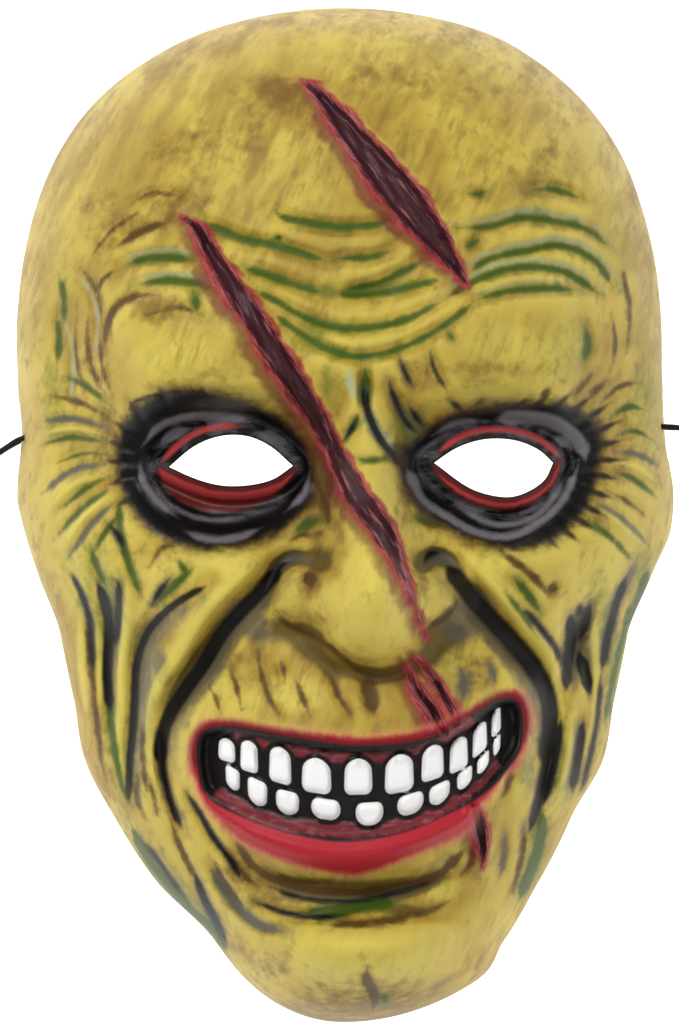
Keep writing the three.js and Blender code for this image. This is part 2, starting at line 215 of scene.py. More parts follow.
def inside(x: Array, y: Array, outline: Array, reach: float = 5.0) -> Array:
    """Gives how deep places lie inside a closed outline.

    Args:
        x: places across, in millimetres.
        y: places up, in millimetres.
        outline: the outline's points, not repeated at the end.
        reach: the value beyond which the depth is held.

    Returns:
        The depth in millimetres, negative outside, held to plus or minus the reach.
    """
    line = np.vstack((outline, outline[:1]))
    found = nearness(x, y, line, reach)
    px, py = x[found.near], y[found.near]
    within = np.zeros(len(px), dtype=bool)
    for (ax, ay), (bx, by) in zip(line[:-1], line[1:]):
        if ay == by:
            continue
        crossing = (ay > py) != (by > py)
        within ^= crossing & (px < (bx - ax) * (py - ay) / (by - ay) + ax)
    depth = np.full(len(x), -reach)
    depth[found.near] = np.clip(np.where(within, found.distance, -found.distance), -reach, reach)
    return depth


# The form of the face


@dataclass(frozen=True)
class Section:
    """One cross-section of the plain dome: its reach, its crest and the squareness of its arch."""

    y: float
    left: float
    right: float
    depth: float
    arch: float


SECTIONS = (
    Section(1.2, -0.082, 0.113, 0.36, 2.3),
    Section(4.0, -0.145, 0.202, 0.52, 2.4),
    Section(8.0, -0.196, 0.246, 0.59, 2.5),
    Section(14.0, -0.287, 0.301, 0.62, 2.5),
    Section(20.0, -0.348, 0.348, 0.64, 2.4),
    Section(26.0, -0.396, 0.399, 0.65, 2.3),
    Section(32.0, -0.413, 0.416, 0.655, 2.2),
    Section(38.0, -0.432, 0.435, 0.66, 2.2),
    Section(44.0, -0.466, 0.472, 0.665, 2.2),
    Section(49.0, -0.49, 0.503, 0.67, 2.2),
    Section(52.0, -0.499, 0.506, 0.675, 2.2),
    Section(57.0, -0.494, 0.495, 0.685, 2.2),
    Section(63.0, -0.498, 0.489, 0.7, 2.3),
    Section(68.0, -0.5, 0.488, 0.71, 2.3),
    Section(74.0, -0.492, 0.48, 0.71, 2.3),
    Section(80.0, -0.472, 0.459, 0.695, 2.3),
    Section(86.0, -0.433, 0.422, 0.65, 2.3),
    Section(91.0, -0.375, 0.365, 0.58, 2.3),
    Section(95.0, -0.295, 0.292, 0.49, 2.3),
    Section(98.5, -0.17, 0.174, 0.31, 2.2),
)


@dataclass(frozen=True)
class Mound:
    """A mound or hollow of the face: its crest, its reach to each side, up and down, its rise."""

    name: str
    x: float
    y: float
    wide: float
    above: float
    below: float
    rise: float


MOUNDS = (
    Mound("left brow", -22, 65.5, 25, 11, 8, 9),
    Mound("right brow", 25, 65.5, 24, 11, 8, 9),
    Mound("frown", 2.5, 63, 11, 9, 7, 6),
    Mound("left socket", -16.5, 54.5, 19, 8.5, 8.5, -16),
    Mound("right socket", 23, 54.5, 19, 8.5, 8.5, -16),
    Mound("left lids", -17, 55, 12.5, 5, 6, 9),
    Mound("right lids", 23.5, 54.8, 12.5, 5, 6, 9),
    Mound("left cheekbone", -32, 47, 14, 7, 10, 5),
    Mound("right cheekbone", 37, 47, 14, 7, 10, 5),
    Mound("left cheek", -20, 44, 13, 5, 9, 8),
    Mound("right cheek", 27, 44.5, 13, 5, 9, 8),
    Mound("left hollow", -37, 33, 10, 10, 13, -5),
    Mound("right hollow", 39, 33, 10, 10, 13, -5),
    Mound("left temple", -41, 62, 12, 12, 10, -5),
    Mound("right temple", 42, 62, 12, 12, 10, -5),
    Mound("muzzle", 2.5, 28, 34, 12, 16, 11),
    Mound("nose root", 4, 56, 6.5, 7, 12, 9),
    Mound("nose bridge", 4.3, 48, 9.5, 13, 12, 13),
    Mound("nose flanks", 4.4, 43.5, 17, 11, 8, 7),
    Mound("nose tip", 4.6, 39.3, 11.5, 9, 5.4, 20),
    Mound("left wing", -6, 42.2, 6.8, 4, 4.4, 7.5),
    Mound("right wing", 14.6, 42.4, 6.8, 4, 4.4, 7.5),
    Mound("chin", 4, 6.5, 20, 5.5, 7, 12),
    Mound("lower jaw", 3, 13, 24, 4, 4, -3),
)


@dataclass(frozen=True)
class Crease:
    """A pressed line of the face and the paint in it.

    Attributes:
        ink: the paint.
        path: the places it runs through.
        line: half the width of the paint.
        deep: the depth of the pressed line, negative for a ridge.
        wide: half the width of the pressed line.
        cover: how fully the paint covers, from 0 to 1.
        lit: how strong the painted highlight along its upper side is.
        halo: half the width of the soft airbrushed paint along it; along a black fold it is grey airbrush and
            painted shade.
        lean: the side to which that paint leans, from -1 to 1.
    """

    ink: Ink
    path: tuple[Place, ...]
    line: float
    deep: float = 0.0
    wide: float = 2.0
    cover: float = 1.0
    lit: float = 0.0
    halo: float = 0.0
    lean: float = 0.0


def brow_line(*path: Place, cover: float = 1.0, lit: float = 0.0) -> Crease:
    """Makes one wrinkle of the forehead, with green paint in it and a painted highlight along its upper edge.
    """
    return Crease(Ink.GREEN, path, 0.75, 2.1, 3.4, cover, lit, 2.8)


def fold(*path: Place, line: float, deep: float, wide: float, halo: float, lean: float = 0.0) -> Crease:
    """Makes one deep fold, black inside, with grey airbrush and painted shade along one side."""
    return Crease(Ink.BLACK, path, line, deep, wide, 1.0, 0.0, halo, lean)


def stroke(ink: Ink, *path: Place, line: float = 0.75, deep: float = 1.1, cover: float = 0.9) -> Crease:
    """Makes one short brushed line."""
    return Crease(ink, path, line, deep, 2.6, cover, 0.0, 3.2 * line)


def brushed(ink: Ink, *path: Place, line: float, deep: float, wide: float, **paint: float) -> Crease:
    """Makes one line with its own width and depth, crisp unless it is given a halo."""
    return Crease(ink, path, line, deep, wide, **paint)


def ridge(*path: Place, wide: float = 4.0, high: float = 1.4, cover: float = 0.9) -> Crease:
    """Makes one raised strand with a painted highlight along its crest."""
    return Crease(Ink.LIGHT, path, 0.3 * wide, -high, wide, cover, 0.0, 0.7 * wide)


black: Callable[..., Crease] = partial(stroke, Ink.BLACK)
green: Callable[..., Crease] = partial(stroke, Ink.GREEN)
brown: Callable[..., Crease] = partial(stroke, Ink.BROWN)
grey: Callable[..., Crease] = partial(stroke, Ink.GREY)
# pale strokes are painted highlights
pale: Callable[..., Crease] = partial(stroke, Ink.PALE)

FOREHEAD = (
    brow_line((-11.3, 79.9), (-8.5, 78.9), (-4, 78.3), (0.2, 78), (5.7, 78.4), (8, 79.2)),
    brow_line((17, 78), (22, 78.1), (27, 79), (33, 78.6), (37.5, 77.8), (40.7, 76), lit=0.9),
    brow_line((-23.2, 78.7), (-19, 77.9), (-15, 76.8), (-10.6, 76.3), (-6.3, 75.5), (-2, 74.6)),
    brow_line((-2, 74.6), (0.2, 75), (4, 75.1), (8, 75.8), cover=0.8),
    brow_line((17.8, 76), (19.5, 76.4), (21.5, 77.2), cover=0.7),
    brow_line((-33.5, 74.2), (-30, 75), (-26, 75.1), (-21.5, 74.7), lit=0.9),
    brow_line((-16, 74.2), (-12.3, 73.6), (-8.5, 72.7), (-4.1, 71.8), (-2, 71.6)),
    brow_line((-2, 71.6), (3, 71.5), (8, 71.9), (13, 72.7), (16, 73.2)),
    brow_line((0, 71.9), (6, 72.8), (13, 75), cover=0.8),
    brow_line((18.5, 73.3), (22, 74.9), (28, 75.8), (33, 76.3), (38, 75), (41.5, 72), lit=1.0),
    brow_line((-31.8, 72.2), (-28, 72.8), (-23.2, 72.7), (-19, 71.9), lit=0.9),
    brow_line((-14, 72), (-10.6, 71), (-6.3, 69.4), (-2, 68.4), (3, 68.2), (9, 68.9), (15, 70.8)),
    brow_line((15, 70.8), (19, 72.5), (24, 73.8), (29, 74.2), (34, 73.6), (39.5, 71.4), lit=0.9),
    brow_line((-11, 70), (-8.3, 68.5), (-4, 66.7), (-0.9, 65.8), (3, 65.4), (9, 66.3), (15, 68.3),
        (20, 70.9)),
    brow_line((20, 70.9), (25, 71.8), (31, 72.1), (36, 72), lit=0.6),
    brow_line((18.8, 81.4), (20.5, 81.3), (22, 81.6), cover=0.6),
    brow_line((28, 81.7), (32, 81.8), (37, 80.8), cover=0.7),
    green((-22.8, 72.2), (-22.2, 70.6), (-21.8, 69), line=1.0),
    brown((-37.6, 71), (-36.4, 73), (-33.6, 74.2), line=0.45, deep=0),
    brown((-38, 75.4), (-35.4, 77.6), (-31, 79.6), line=0.35, deep=0, cover=0.7),
    brown((-38.8, 69.6), (-38.6, 65.4), (-36.4, 61.8), line=0.45, deep=0),
    brown((-40.4, 70.6), (-40.6, 66), (-39.4, 62), line=0.4, deep=0, cover=0.8),
    brown((-36.8, 68), (-36.6, 64.6), (-35, 61.6), line=0.4, deep=0),
    brown((-30, 69.4), (-25, 70.2), (-21, 69.4), line=0.4, deep=0, cover=0.7),
    green((-43.4, 74), (-42.4, 71), (-42.6, 68), line=0.9, deep=0, cover=0.7),
    brown((42.6, 74), (43.6, 70), (43.2, 66), line=0.45, deep=0, cover=0.8),
    brown((40.6, 70), (41.4, 67), (40.6, 64), line=0.4, deep=0, cover=0.8),
    green((-9.8, 77.4), (-9.7, 76.6), line=0.7),
    green((36.5, 69.3), (37.1, 66.8), (36.3, 64.2), line=1.0),
    green((3.2, 65), (3.4, 62.5), (2.8, 60), line=1.1, deep=1.5),
    green((2.6, 60), (1.5, 58.5), (0, 57.4), line=1.0, deep=1.1),
    pale((3.4, 60.4), (4.8, 58.4), (8.5, 55.7), line=0.9, deep=-0.6),
    pale((0.6, 64.8), (1.2, 62.8), (1.6, 61), line=0.7, deep=-0.5),
    black((3.2, 63.4), (3.6, 60.4), (5.6, 57.4), (8.8, 55), (10, 53.6), line=1.0, deep=2.2),
    black((2.4, 60), (0.8, 57.8), (-0.6, 56.8), line=0.6, deep=1.2),
    black((6.8, 63.6), (7.6, 61.6), (9.6, 59), (12.4, 57.6), line=0.7, deep=1.6),
    black((8.3, 65.6), (9.4, 63.8), (11, 62), line=0.6),
    black((13, 66.4), (13.8, 64.2), (16, 61.8), line=0.5),
    black((9.4, 61.2), (11.3, 59.3), (13, 58.1), line=0.7),
    black((15.6, 61.4), (17.4, 60.5), (18.6, 59.9), line=0.6),
    green((21.5, 61.4), (19.5, 60.4), line=0.6),
    green((15.5, 68), (17, 66.8), line=0.6),
    brown((34.5, 61.2), (36.3, 62.6), (38.4, 64.1), line=0.6),
    brown((37, 61.4), (38.6, 62.4), (40.4, 63.2), line=0.6),
    brown((30, 61.2), (31.2, 62.3), line=0.6),
    brown((-32.4, 80.4), (-28.6, 81.4), (-23.7, 81), line=0.6, cover=0.7),
    brown((-35.1, 75.9), (-30.8, 77.6), (-25.9, 78.8), line=0.8),
    brown((-36.2, 66), (-35.4, 69.2), (-32.6, 71.1), (-27, 71.6), line=0.7),
    pale((-41.5, 74), (-38.4, 72), (-37.2, 69), (-37.8, 65), line=0.5, cover=0.5),
    brown((-40.4, 74.6), (-37.6, 72.2), (-36.4, 69), line=0.5, cover=0.7),
    pale((-43, 70), (-41, 66), (-41.5, 61), line=0.5, cover=0.45),
    green((-43.6, 70), (-43.2, 67), (-43.8, 64), line=1.1, cover=0.7),
    brown((-4, 53.4), (-2.6, 50.8), (-2, 48.4), line=0.9),
    green((1, 55.7), (4, 55.3), (8.4, 55.7), line=0.8),
)

CHEEKS = (
    fold((-8.4, 45.4), (-10.6, 44), (-12.7, 42.4), (-17.6, 39.1), (-21.4, 35.2), (-24.8, 32.1),
        (-26.9, 29.6), (-27.7, 26.9), (-27.2, 24.6), line=1.9, deep=7.0, wide=6.5, halo=5.0, lean=0.8),
    black((-27.8, 28.6), (-27.4, 25), (-26, 21.6), (-24, 18.8), line=1.0, deep=3.4),
    fold((14.8, 45.6), (17.5, 43.6), (21.6, 40.4), (25.6, 37.6), (29.2, 34.8), (31.1, 32.3),
        (31.5, 29.6), (30.9, 26.7), (30.6, 24.6), line=2.4, deep=7.0, wide=6.5, halo=5.5, lean=-0.8),
    black((31.4, 29.6), (30.8, 25.6), (29.4, 21.4), (28, 18.4), line=1.2, deep=3.4),
    fold((-19.8, 43.4), (-24.8, 41.6), (-28.1, 39.8), (-30.2, 37.8), (-31.3, 35.4), (-31.6, 33),
        (-31.8, 30), (-32.2, 27.3), (-32.6, 24), (-32.8, 21), line=1.0, deep=3.6, wide=5.0, halo=5.2,
        lean=0.7),
    fold((-37.9, 44), (-36.3, 41.6), (-35.6, 39), (-35.8, 36.2), (-35.9, 33.6), (-35.3, 30), line=1.4,
        deep=3.4, wide=4.6, halo=3.6, lean=0.3),
    black((-34.2, 44.4), (-34, 42.3), (-34.2, 39.8), (-34.8, 36.4), line=1.0, deep=1.2),
    black((-42, 45), (-39.8, 42.3), (-38.6, 39.8), (-38.2, 36.6), (-38, 34), line=0.8, deep=1.2),
    green((-38.6, 47.4), (-37.4, 45), (-35.6, 42.6), line=0.8),
    black((-25.6, 44.4), (-28, 42.3), (-29.4, 40.6), line=0.8, deep=1.0),
    green((-22, 45.2), (-25.8, 43), (-28.8, 41), line=1.0, deep=1.0),
    green((-34, 52), (-33.7, 48), (-31.5, 43.5), (-30, 41.4), line=0.8),
    black((-36.4, 49.6), (-33.9, 47.8), (-33.2, 46), line=0.7),
    brown((-29.4, 44.8), (-27.4, 46.8), (-24, 47), line=0.7),
    green((-25.4, 46), (-23.7, 44.4), (-22.6, 44), line=0.8),
    brown((-29.6, 24.6), (-28.6, 22.2), (-28.2, 20.4), line=0.7),
    brown((-30.9, 25), (-31.4, 22.4), (-30, 20.2), line=0.6),
    green((-32.6, 20), (-30.3, 16.9), (-27, 14), (-23.1, 11.1), (-19.8, 9.3), (-17, 6.5), line=1.3),
    black((-31, 18.6), (-27.4, 15.4), (-23.6, 12), line=0.6),
    black((-22.9, 15.6), (-21.2, 12.6), (-19, 9.7), (-17.3, 7.4), line=1.1, deep=1.4),
    black((-24.4, 23.4), (-22, 21.2), (-19.8, 18.7), (-17, 16.2), (-14.8, 13.6), line=0.7, deep=1.4),
    brown((-20, 16.4), (-17.6, 13.6), (-14.4, 11.4), line=0.9, deep=1.2),
    brown((-18, 17.4), (-15, 14.8), (-12, 13.4), line=0.9, deep=1.6),
    grey((-20.6, 16), (-17, 12.4), (-13, 10), (-8, 9.2), line=1.2, deep=2.0),
    ridge((-13, 45), (-19, 42), (-24, 37.6), (-28.3, 33), (-29.4, 29), (-29.6, 25), wide=4.4, high=1.8),
    ridge((-32.6, 42.6), (-33.2, 38), (-33.6, 33), (-34.2, 27), (-33.6, 22), wide=3.2, high=1.4),
    ridge((-37.4, 40), (-37, 36), (-37, 31), wide=2.6, high=1.0),
    ridge((-40, 40.5), (-40, 36), (-39, 30), wide=3.4, high=1.0, cover=0.7),
    green((25.3, 44.4), (28, 42.2), (30.6, 39.9), line=1.0, deep=1.2),
    brown((23, 46.8), (26.1, 45.4), (29.4, 43.6), (31.7, 41.6), line=0.7, deep=1.0),
    black((26.6, 41.5), (30, 38.9), (32.5, 36.7), (33.4, 34.4), line=0.8, deep=1.4),
    green((24, 42.8), (27.4, 40.2), (29.6, 38), line=0.7, deep=0.8),
    brushed(Ink.BROWN, (30.8, 43.4), (31.9, 42.9), (33, 42.5), line=1.6, deep=2.0, wide=4.0,
        cover=0.8, halo=4.5),
    fold((34.4, 41.2), (34.7, 38.2), (34.2, 35.3), (33.9, 32), line=1.5, deep=3.2, wide=4.4, halo=3.2,
        lean=-0.2),
    fold((35.4, 37.4), (36.9, 34.3), (37.9, 31.6), line=1.6, deep=2.6, wide=3.6, halo=2.6),
    black((38, 42.2), (36.7, 39.3), (35.5, 37.1), line=1.3, deep=1.6),
    black((36.2, 41.6), (35.8, 39.6), line=0.8),
    black((43.6, 44.7), (41.8, 41.8), (40.8, 39.3), (40, 37), (39.4, 34), line=1.2, deep=1.8),
    green((47.2, 45.4), (46.1, 43.6), (44.4, 40.4), (43, 38.4), line=1.3, deep=1.2),
    grey((45, 46), (42.8, 42.8), (41.8, 40.2), line=0.8, deep=1.0),
    fold((36.7, 30.6), (36.1, 27.5), (35.4, 24.6), (34.6, 22), line=1.2, deep=2.0, wide=3.6, halo=3.4,
        lean=-0.4),
    fold((33.3, 30.9), (32.6, 27.5), (31.7, 24.4), (30.2, 21), line=1.0, deep=1.6, wide=3.2, halo=3.0),
    green((30.6, 21.6), (29.8, 17.4), (28.2, 14.5), (26.6, 11.6), line=1.6, deep=1.6),
    brown((24.2, 22), (25.2, 24.4), (26.4, 26.2), line=0.7),
    grey((24.6, 19.6), (24.4, 16.4), (23.6, 14), line=0.7, cover=0.6),
    ridge((19, 45.4), (24.4, 42), (28.4, 38.2), (32, 35), (33, 31.6), (32.8, 28), wide=3.4, high=1.6),
    ridge((35.9, 36), (36.4, 33.6), (37, 31.4), wide=1.8, high=0.8),
    ridge((38.4, 40.4), (38.4, 36.6), (38.8, 32.4), (37.8, 26), wide=3.2, high=1.4),
    black((39.4, 35), (38.8, 30), (37.4, 25.4), (36, 22), line=0.7, deep=1.6),
    green((42.6, 38.4), (41.2, 33.6), (39.8, 29), line=0.8, deep=1.4),
    green((44.2, 42), (42.6, 37.6), (41, 33.4), line=0.7, deep=1.2),
    brown((-39.2, 40), (-38.4, 35), (-37.6, 30), (-36.6, 25), line=0.6, deep=1.4),
    green((-36.4, 36), (-35.4, 30), (-34.2, 25), (-33, 21.6), line=0.9, deep=1.4),
    brown((-30.2, 30), (-30.4, 26), (-29.8, 22.4), line=0.6, deep=1.0),
    brown((-26.4, 20.4), (-24.4, 17), (-21.6, 13.6), line=0.6, deep=1.2),
    brown((27.6, 20), (27.2, 16.4), (25.4, 12.6), line=0.6, deep=1.2),
    brown((17.6, 14.6), (19.6, 16.4), (20, 19), line=0.7, deep=1.2),
    brown((-11.6, 15.6), (-7.6, 14.2), (-2, 14.2), line=0.6, deep=0.9),
    black((-14, 12.4), (-9, 11.2), (-4, 10.8), (1, 11), line=0.6, deep=1.0),
    brown((8, 11.4), (12.4, 11.2), (16.4, 12.4), line=0.6, deep=0.9),
    ridge((35, 30), (34.3, 26.4), (33, 22.6), wide=2.2, high=1.0),
    brushed(Ink.BROWN, (-17, 19), (-13, 15.4), (-6, 13.6), (2, 13.2), (10, 13.9), (15, 15.2), (19.4, 18),
        line=1.1, deep=2.6, wide=4.4, halo=5.0, lean=-0.3),
    brushed(Ink.BLACK, (-12, 13.9), (-6, 12.6), (1, 12.3), (8, 13.1), (15, 14.4), line=0.6,
        deep=0.8, wide=2.6, cover=0.9, halo=3.0),
    brushed(Ink.GREEN, (-7, 10.9), (-1, 11.4), (5, 12.2), (9, 11.6), line=1.7, deep=1.4, wide=3.6,
        halo=4.4),
    brushed(Ink.BROWN, (-3, 10), (4, 10.2), (12, 11), line=1.0, deep=0.8, wide=2.8, cover=0.8, halo=3.0),
    brown((3.8, 6.6), (3.6, 4.6), (4.8, 3), (4.4, 1), line=1.4, deep=1.0),
    green((5.6, 3.6), (6.8, 2), line=1.0),
)

CROWS_FEET = (
    green((-35, 60.5), (-39, 62.6), (-43, 63.8), line=0.55),
    brown((-35.2, 59.4), (-40, 61), (-45, 61.8), line=0.4),
    grey((-35.6, 58.4), (-41, 59.4), (-46, 59.2), line=0.55),
    green((-35.6, 57), (-41, 57.6), (-46.4, 56.8), line=0.55),
    green((-35.6, 55.9), (-39.5, 56), (-44, 55), line=0.4),
    grey((-35.6, 54.9), (-41, 54.4), (-46, 52), line=0.55),
    green((-35.4, 53.8), (-39, 52.6), (-43, 50.6), line=0.5),
    green((-35, 52.7), (-39.6, 50.6), (-44, 47.6), line=0.55),
    grey((-34.4, 51.4), (-38, 49.2), (-42, 45.6), line=0.55),
    green((-33.6, 50.4), (-36.4, 48), (-38.6, 45.4), line=0.5),
    ridge((-36, 57.8), (-41, 58.5), (-46, 58), wide=2.2, high=0.8, cover=0.6),
    ridge((-36, 53.9), (-41, 53), (-45, 50.6), wide=2.2, high=0.8, cover=0.6),
    ridge((-35.4, 52), (-39.4, 49.9), (-43, 46.6), wide=2.2, high=0.8, cover=0.6),
    brown((39.4, 61), (42, 62.6), (45, 63), line=0.4),
    green((40.6, 59.6), (43.6, 60.6), (46.6, 60.2), line=0.55),
    green((41.4, 57.8), (44.6, 58.2), (47.6, 57.2), line=0.5),
    grey((41, 56.2), (44.6, 56), (48, 54.8), line=0.55),
    green((40.4, 54.2), (44, 53.6), (48, 51.6), line=0.55),
    brown((39.6, 52.6), (43, 51.4), (46.6, 49.6), line=0.4),
    grey((38.6, 51.2), (42.4, 49.6), (46.6, 47), line=0.55),
    green((37, 49.6), (41, 47.6), (44.4, 45.2), line=0.55),
    ridge((41, 55.2), (44.6, 54.8), (48, 53.2), wide=2.2, high=0.8, cover=0.6),
    ridge((39, 50.6), (43, 48.9), (46.4, 46.6), wide=2.2, high=0.8, cover=0.6),
)

NOSE_AND_LIP = (
    brushed(Ink.GREY, (-11, 42.4), (-9.9, 44.8), (-7.2, 45.9), (-4.6, 45.4), line=1.5, deep=2.0,
        wide=3.0, halo=2.8),
    brushed(Ink.BLACK, (-10.9, 43.6), (-9.6, 45), (-7.4, 45.5), line=0.8, deep=0.6, wide=2.0),
    brushed(Ink.BROWN, (-6.6, 44.6), (-5.2, 44), (-4.8, 42.4), line=1.8, deep=1.2, wide=2.6,
        cover=0.9, halo=3.4),
    brushed(Ink.GREY, (11.6, 44.4), (13, 45.8), (15.4, 45.7), (17.4, 44.2), line=1.6, deep=2.0,
        wide=3.0, halo=2.6),
    brushed(Ink.BLACK, (11.8, 44.8), (13.2, 46.2), (15.6, 46.1), line=0.8, deep=0.6, wide=2.0),
    brushed(Ink.BROWN, (-10.6, 41.2), (-8.6, 39.5), (-3.6, 37.9), (0, 36.2), (2.4, 34.8), (6, 34.3),
        (9.4, 35), line=0.6, deep=1.0, wide=2.6, cover=0.8, halo=1.6, lean=-0.3),
    brushed(Ink.BROWN, (11.4, 38.2), (13.4, 39.2), (16.4, 40.6), (17.6, 42), line=0.7, deep=1.2,
        wide=2.6, cover=0.9, halo=2.2),
    brushed(Ink.GREEN, (-8, 48), (-5.2, 49.2), (-2.6, 49.6), line=1.5, deep=1.5, wide=2.8,
        cover=0.7, halo=2.8),
    brown((-8.6, 47.4), (-6.4, 48), (-3, 48.2), line=0.7),
    brushed(Ink.GREEN, (10.2, 50), (11.6, 49.6), (14.6, 49), line=0.9, deep=1.0, wide=2.4,
        cover=0.7, halo=2.2),
    brown((-13, 37.4), (-12.4, 34.5), (-11, 32), (-9.5, 30.4), line=0.55),
    brown((-7.6, 34.6), (-6.2, 32.4), (-5, 30.2), line=0.55),
    brown((-2.4, 35.4), (-0.6, 32.4), (1.7, 30.1), line=0.55),
    brown((-17.4, 35.4), (-16, 33), (-15.4, 31), line=0.45, cover=0.8),
    brown((-20.4, 33.4), (-19.2, 32), (-18.6, 30.6), line=0.4, cover=0.7),
    brown((-9.6, 36.2), (-9, 35), (-8.8, 33.6), line=0.45, cover=0.7),
    grey((17.6, 35.6), (18.2, 33.6), (18, 31.4), line=1.3, cover=0.8),
    grey((21.4, 36.2), (22.8, 34.6), (22.8, 33), line=0.9, cover=0.7),
    brushed(Ink.BROWN, (3.4, 35.4), (4, 33), (4.8, 29.8), line=2.2, deep=1.2, wide=4.0, halo=5.0),
    ridge((4.2, 50), (4.8, 45), (5.2, 40), (5, 37), wide=4.6, high=0.5, cover=1.0),
)

LASH_ROOT = 0.8
LASHES = (
    (26, 60.2, 2.4, 1.6), (29, 60.4, 2.8, 1.7), (32, 60.4, 3.4, 2.0), (34.6, 60, 4.0, 2.1),
    (36.6, 59.2, 4.6, 2.0), (37.8, 58, 5.0, 1.4), (38.4, 56.8, 5.0, 0.6), (38.4, 55.4, 5.0, 0.0),
    (38, 54, 4.6, -0.6), (37.4, 52.4, 4.6, -1.0), (36.4, 51, 4.4, -1.4), (35, 49.8, 4.2, -1.6),
    (33, 48.8, 3.6, -1.8), (30.6, 48, 3.0, -1.8), (-33, 58.4, -3.0, 1.2), (-33.6, 56.8, -3.4, 0.7),
    (-33.8, 55.2, -3.2, 0.1), (-33.4, 53.4, -3.0, -0.6), (-32.4, 51.6, -2.6, -1.0), (-31, 60, -2.0, 1.6),
    (-27, 61.4, -1.2, 1.2), (-21, 61.6, -0.6, 1.3),
)

# grey rings round the eyes, partly painted highlight on their ridges; red lid lines; black lashes
EYE_RINGS = (
    brushed(Ink.GREY, (-30.9, 55.6), (-30.4, 53.6), (-28.2, 51.4), (-24.6, 49.5), line=0.9, deep=-1.3,
        wide=2.4),
    brushed(Ink.GREY, (-24.6, 48.6), (-20.6, 47.7), (-16, 47.8), (-12, 48.9), line=1.0, deep=-1.4, wide=2.6),
    brushed(Ink.GREY, (-29.4, 54), (-26.6, 51.2), (-21, 49.6), (-15, 49.8), line=0.5, deep=-0.9,
        wide=1.6, cover=0.8),
    brushed(Ink.GREY, (-30.6, 56.6), (-27.6, 58.7), (-23, 59.6), (-17, 59.5), (-13, 58.9), line=1.0,
        deep=-1.0, wide=2.4, cover=0.9),
    brushed(Ink.GREY, (-28.6, 56.4), (-25.6, 57.9), (-22, 58.6), line=1.4, deep=0.0, wide=2.4, cover=0.9),
    brushed(Ink.GREY, (-4.8, 54.4), (-6, 52), (-9, 50.2), line=1.0, deep=-0.8, wide=2.4, cover=0.8),
    brushed(Ink.GREY, (9.6, 54.8), (12, 51.6), (16, 49.8), (20, 48.4), (24.6, 47.9), (29, 49), (33, 51.2),
        (36, 55), line=0.95, deep=-1.4, wide=2.4),
    brushed(Ink.GREY, (17, 51), (22, 49.3), (26.4, 49.2), (30.6, 50.6), (34, 54), line=0.8, deep=-1.0,
        wide=1.8, cover=0.9),
    brushed(Ink.GREY, (22, 59.2), (27, 59.5), (32, 59), (36, 57), (37, 54.6), line=1.9, deep=-0.8, wide=2.6),
    brushed(Ink.GREY, (13, 57.6), (17, 58.9), (22, 59.3), line=0.8, deep=-0.6, wide=2.0, cover=0.9),
    brushed(Ink.GREY, (31, 57.9), (34, 57), (35, 55.8), line=1.4, deep=0.0, wide=2.4, cover=0.9),
    brushed(Ink.GREY, (9.4, 55), (10.6, 53.4), (12.6, 52.4), line=1.6, deep=0.0, wide=2.0),
    brushed(Ink.RED, (-28.2, 54.7), (-25.6, 56.5), (-22.4, 58), (-18, 58.7), (-14.4, 58.5), line=0.75,
        deep=-0.5, wide=1.6),
    brushed(Ink.RED, (13.8, 55.6), (17, 57.4), (21, 58.3), (25.6, 58.3), (30, 57.3), (33.8, 55.2),
        line=0.75, deep=-0.5, wide=1.6),
    brushed(Ink.BLACK, (-27.6, 57.8), (-32, 60.4), (-30, 61.4), (-24, 62.2), line=0.6, deep=0.0,
        wide=2.0, cover=0.6),
    *(
        Crease(
            Ink.BLACK,
            ((x - LASH_ROOT * away, y - LASH_ROOT * rise), (x, y), (x + away, y + rise)),
            line=0.75,
            deep=0.5,
            wide=1.8,
        )
        for x, y, away, rise in LASHES
    ),
)

CREASES = FOREHEAD + CHEEKS + CROWS_FEET + NOSE_AND_LIP + EYE_RINGS


@dataclass(frozen=True)
class Patch:
    """A soft brushed patch of paint: its middle, its reach in percent, its cover and tilt."""

    x: float
    y: float
    wide: float
    high: float
    cover: float
    tilt: float = 0.0


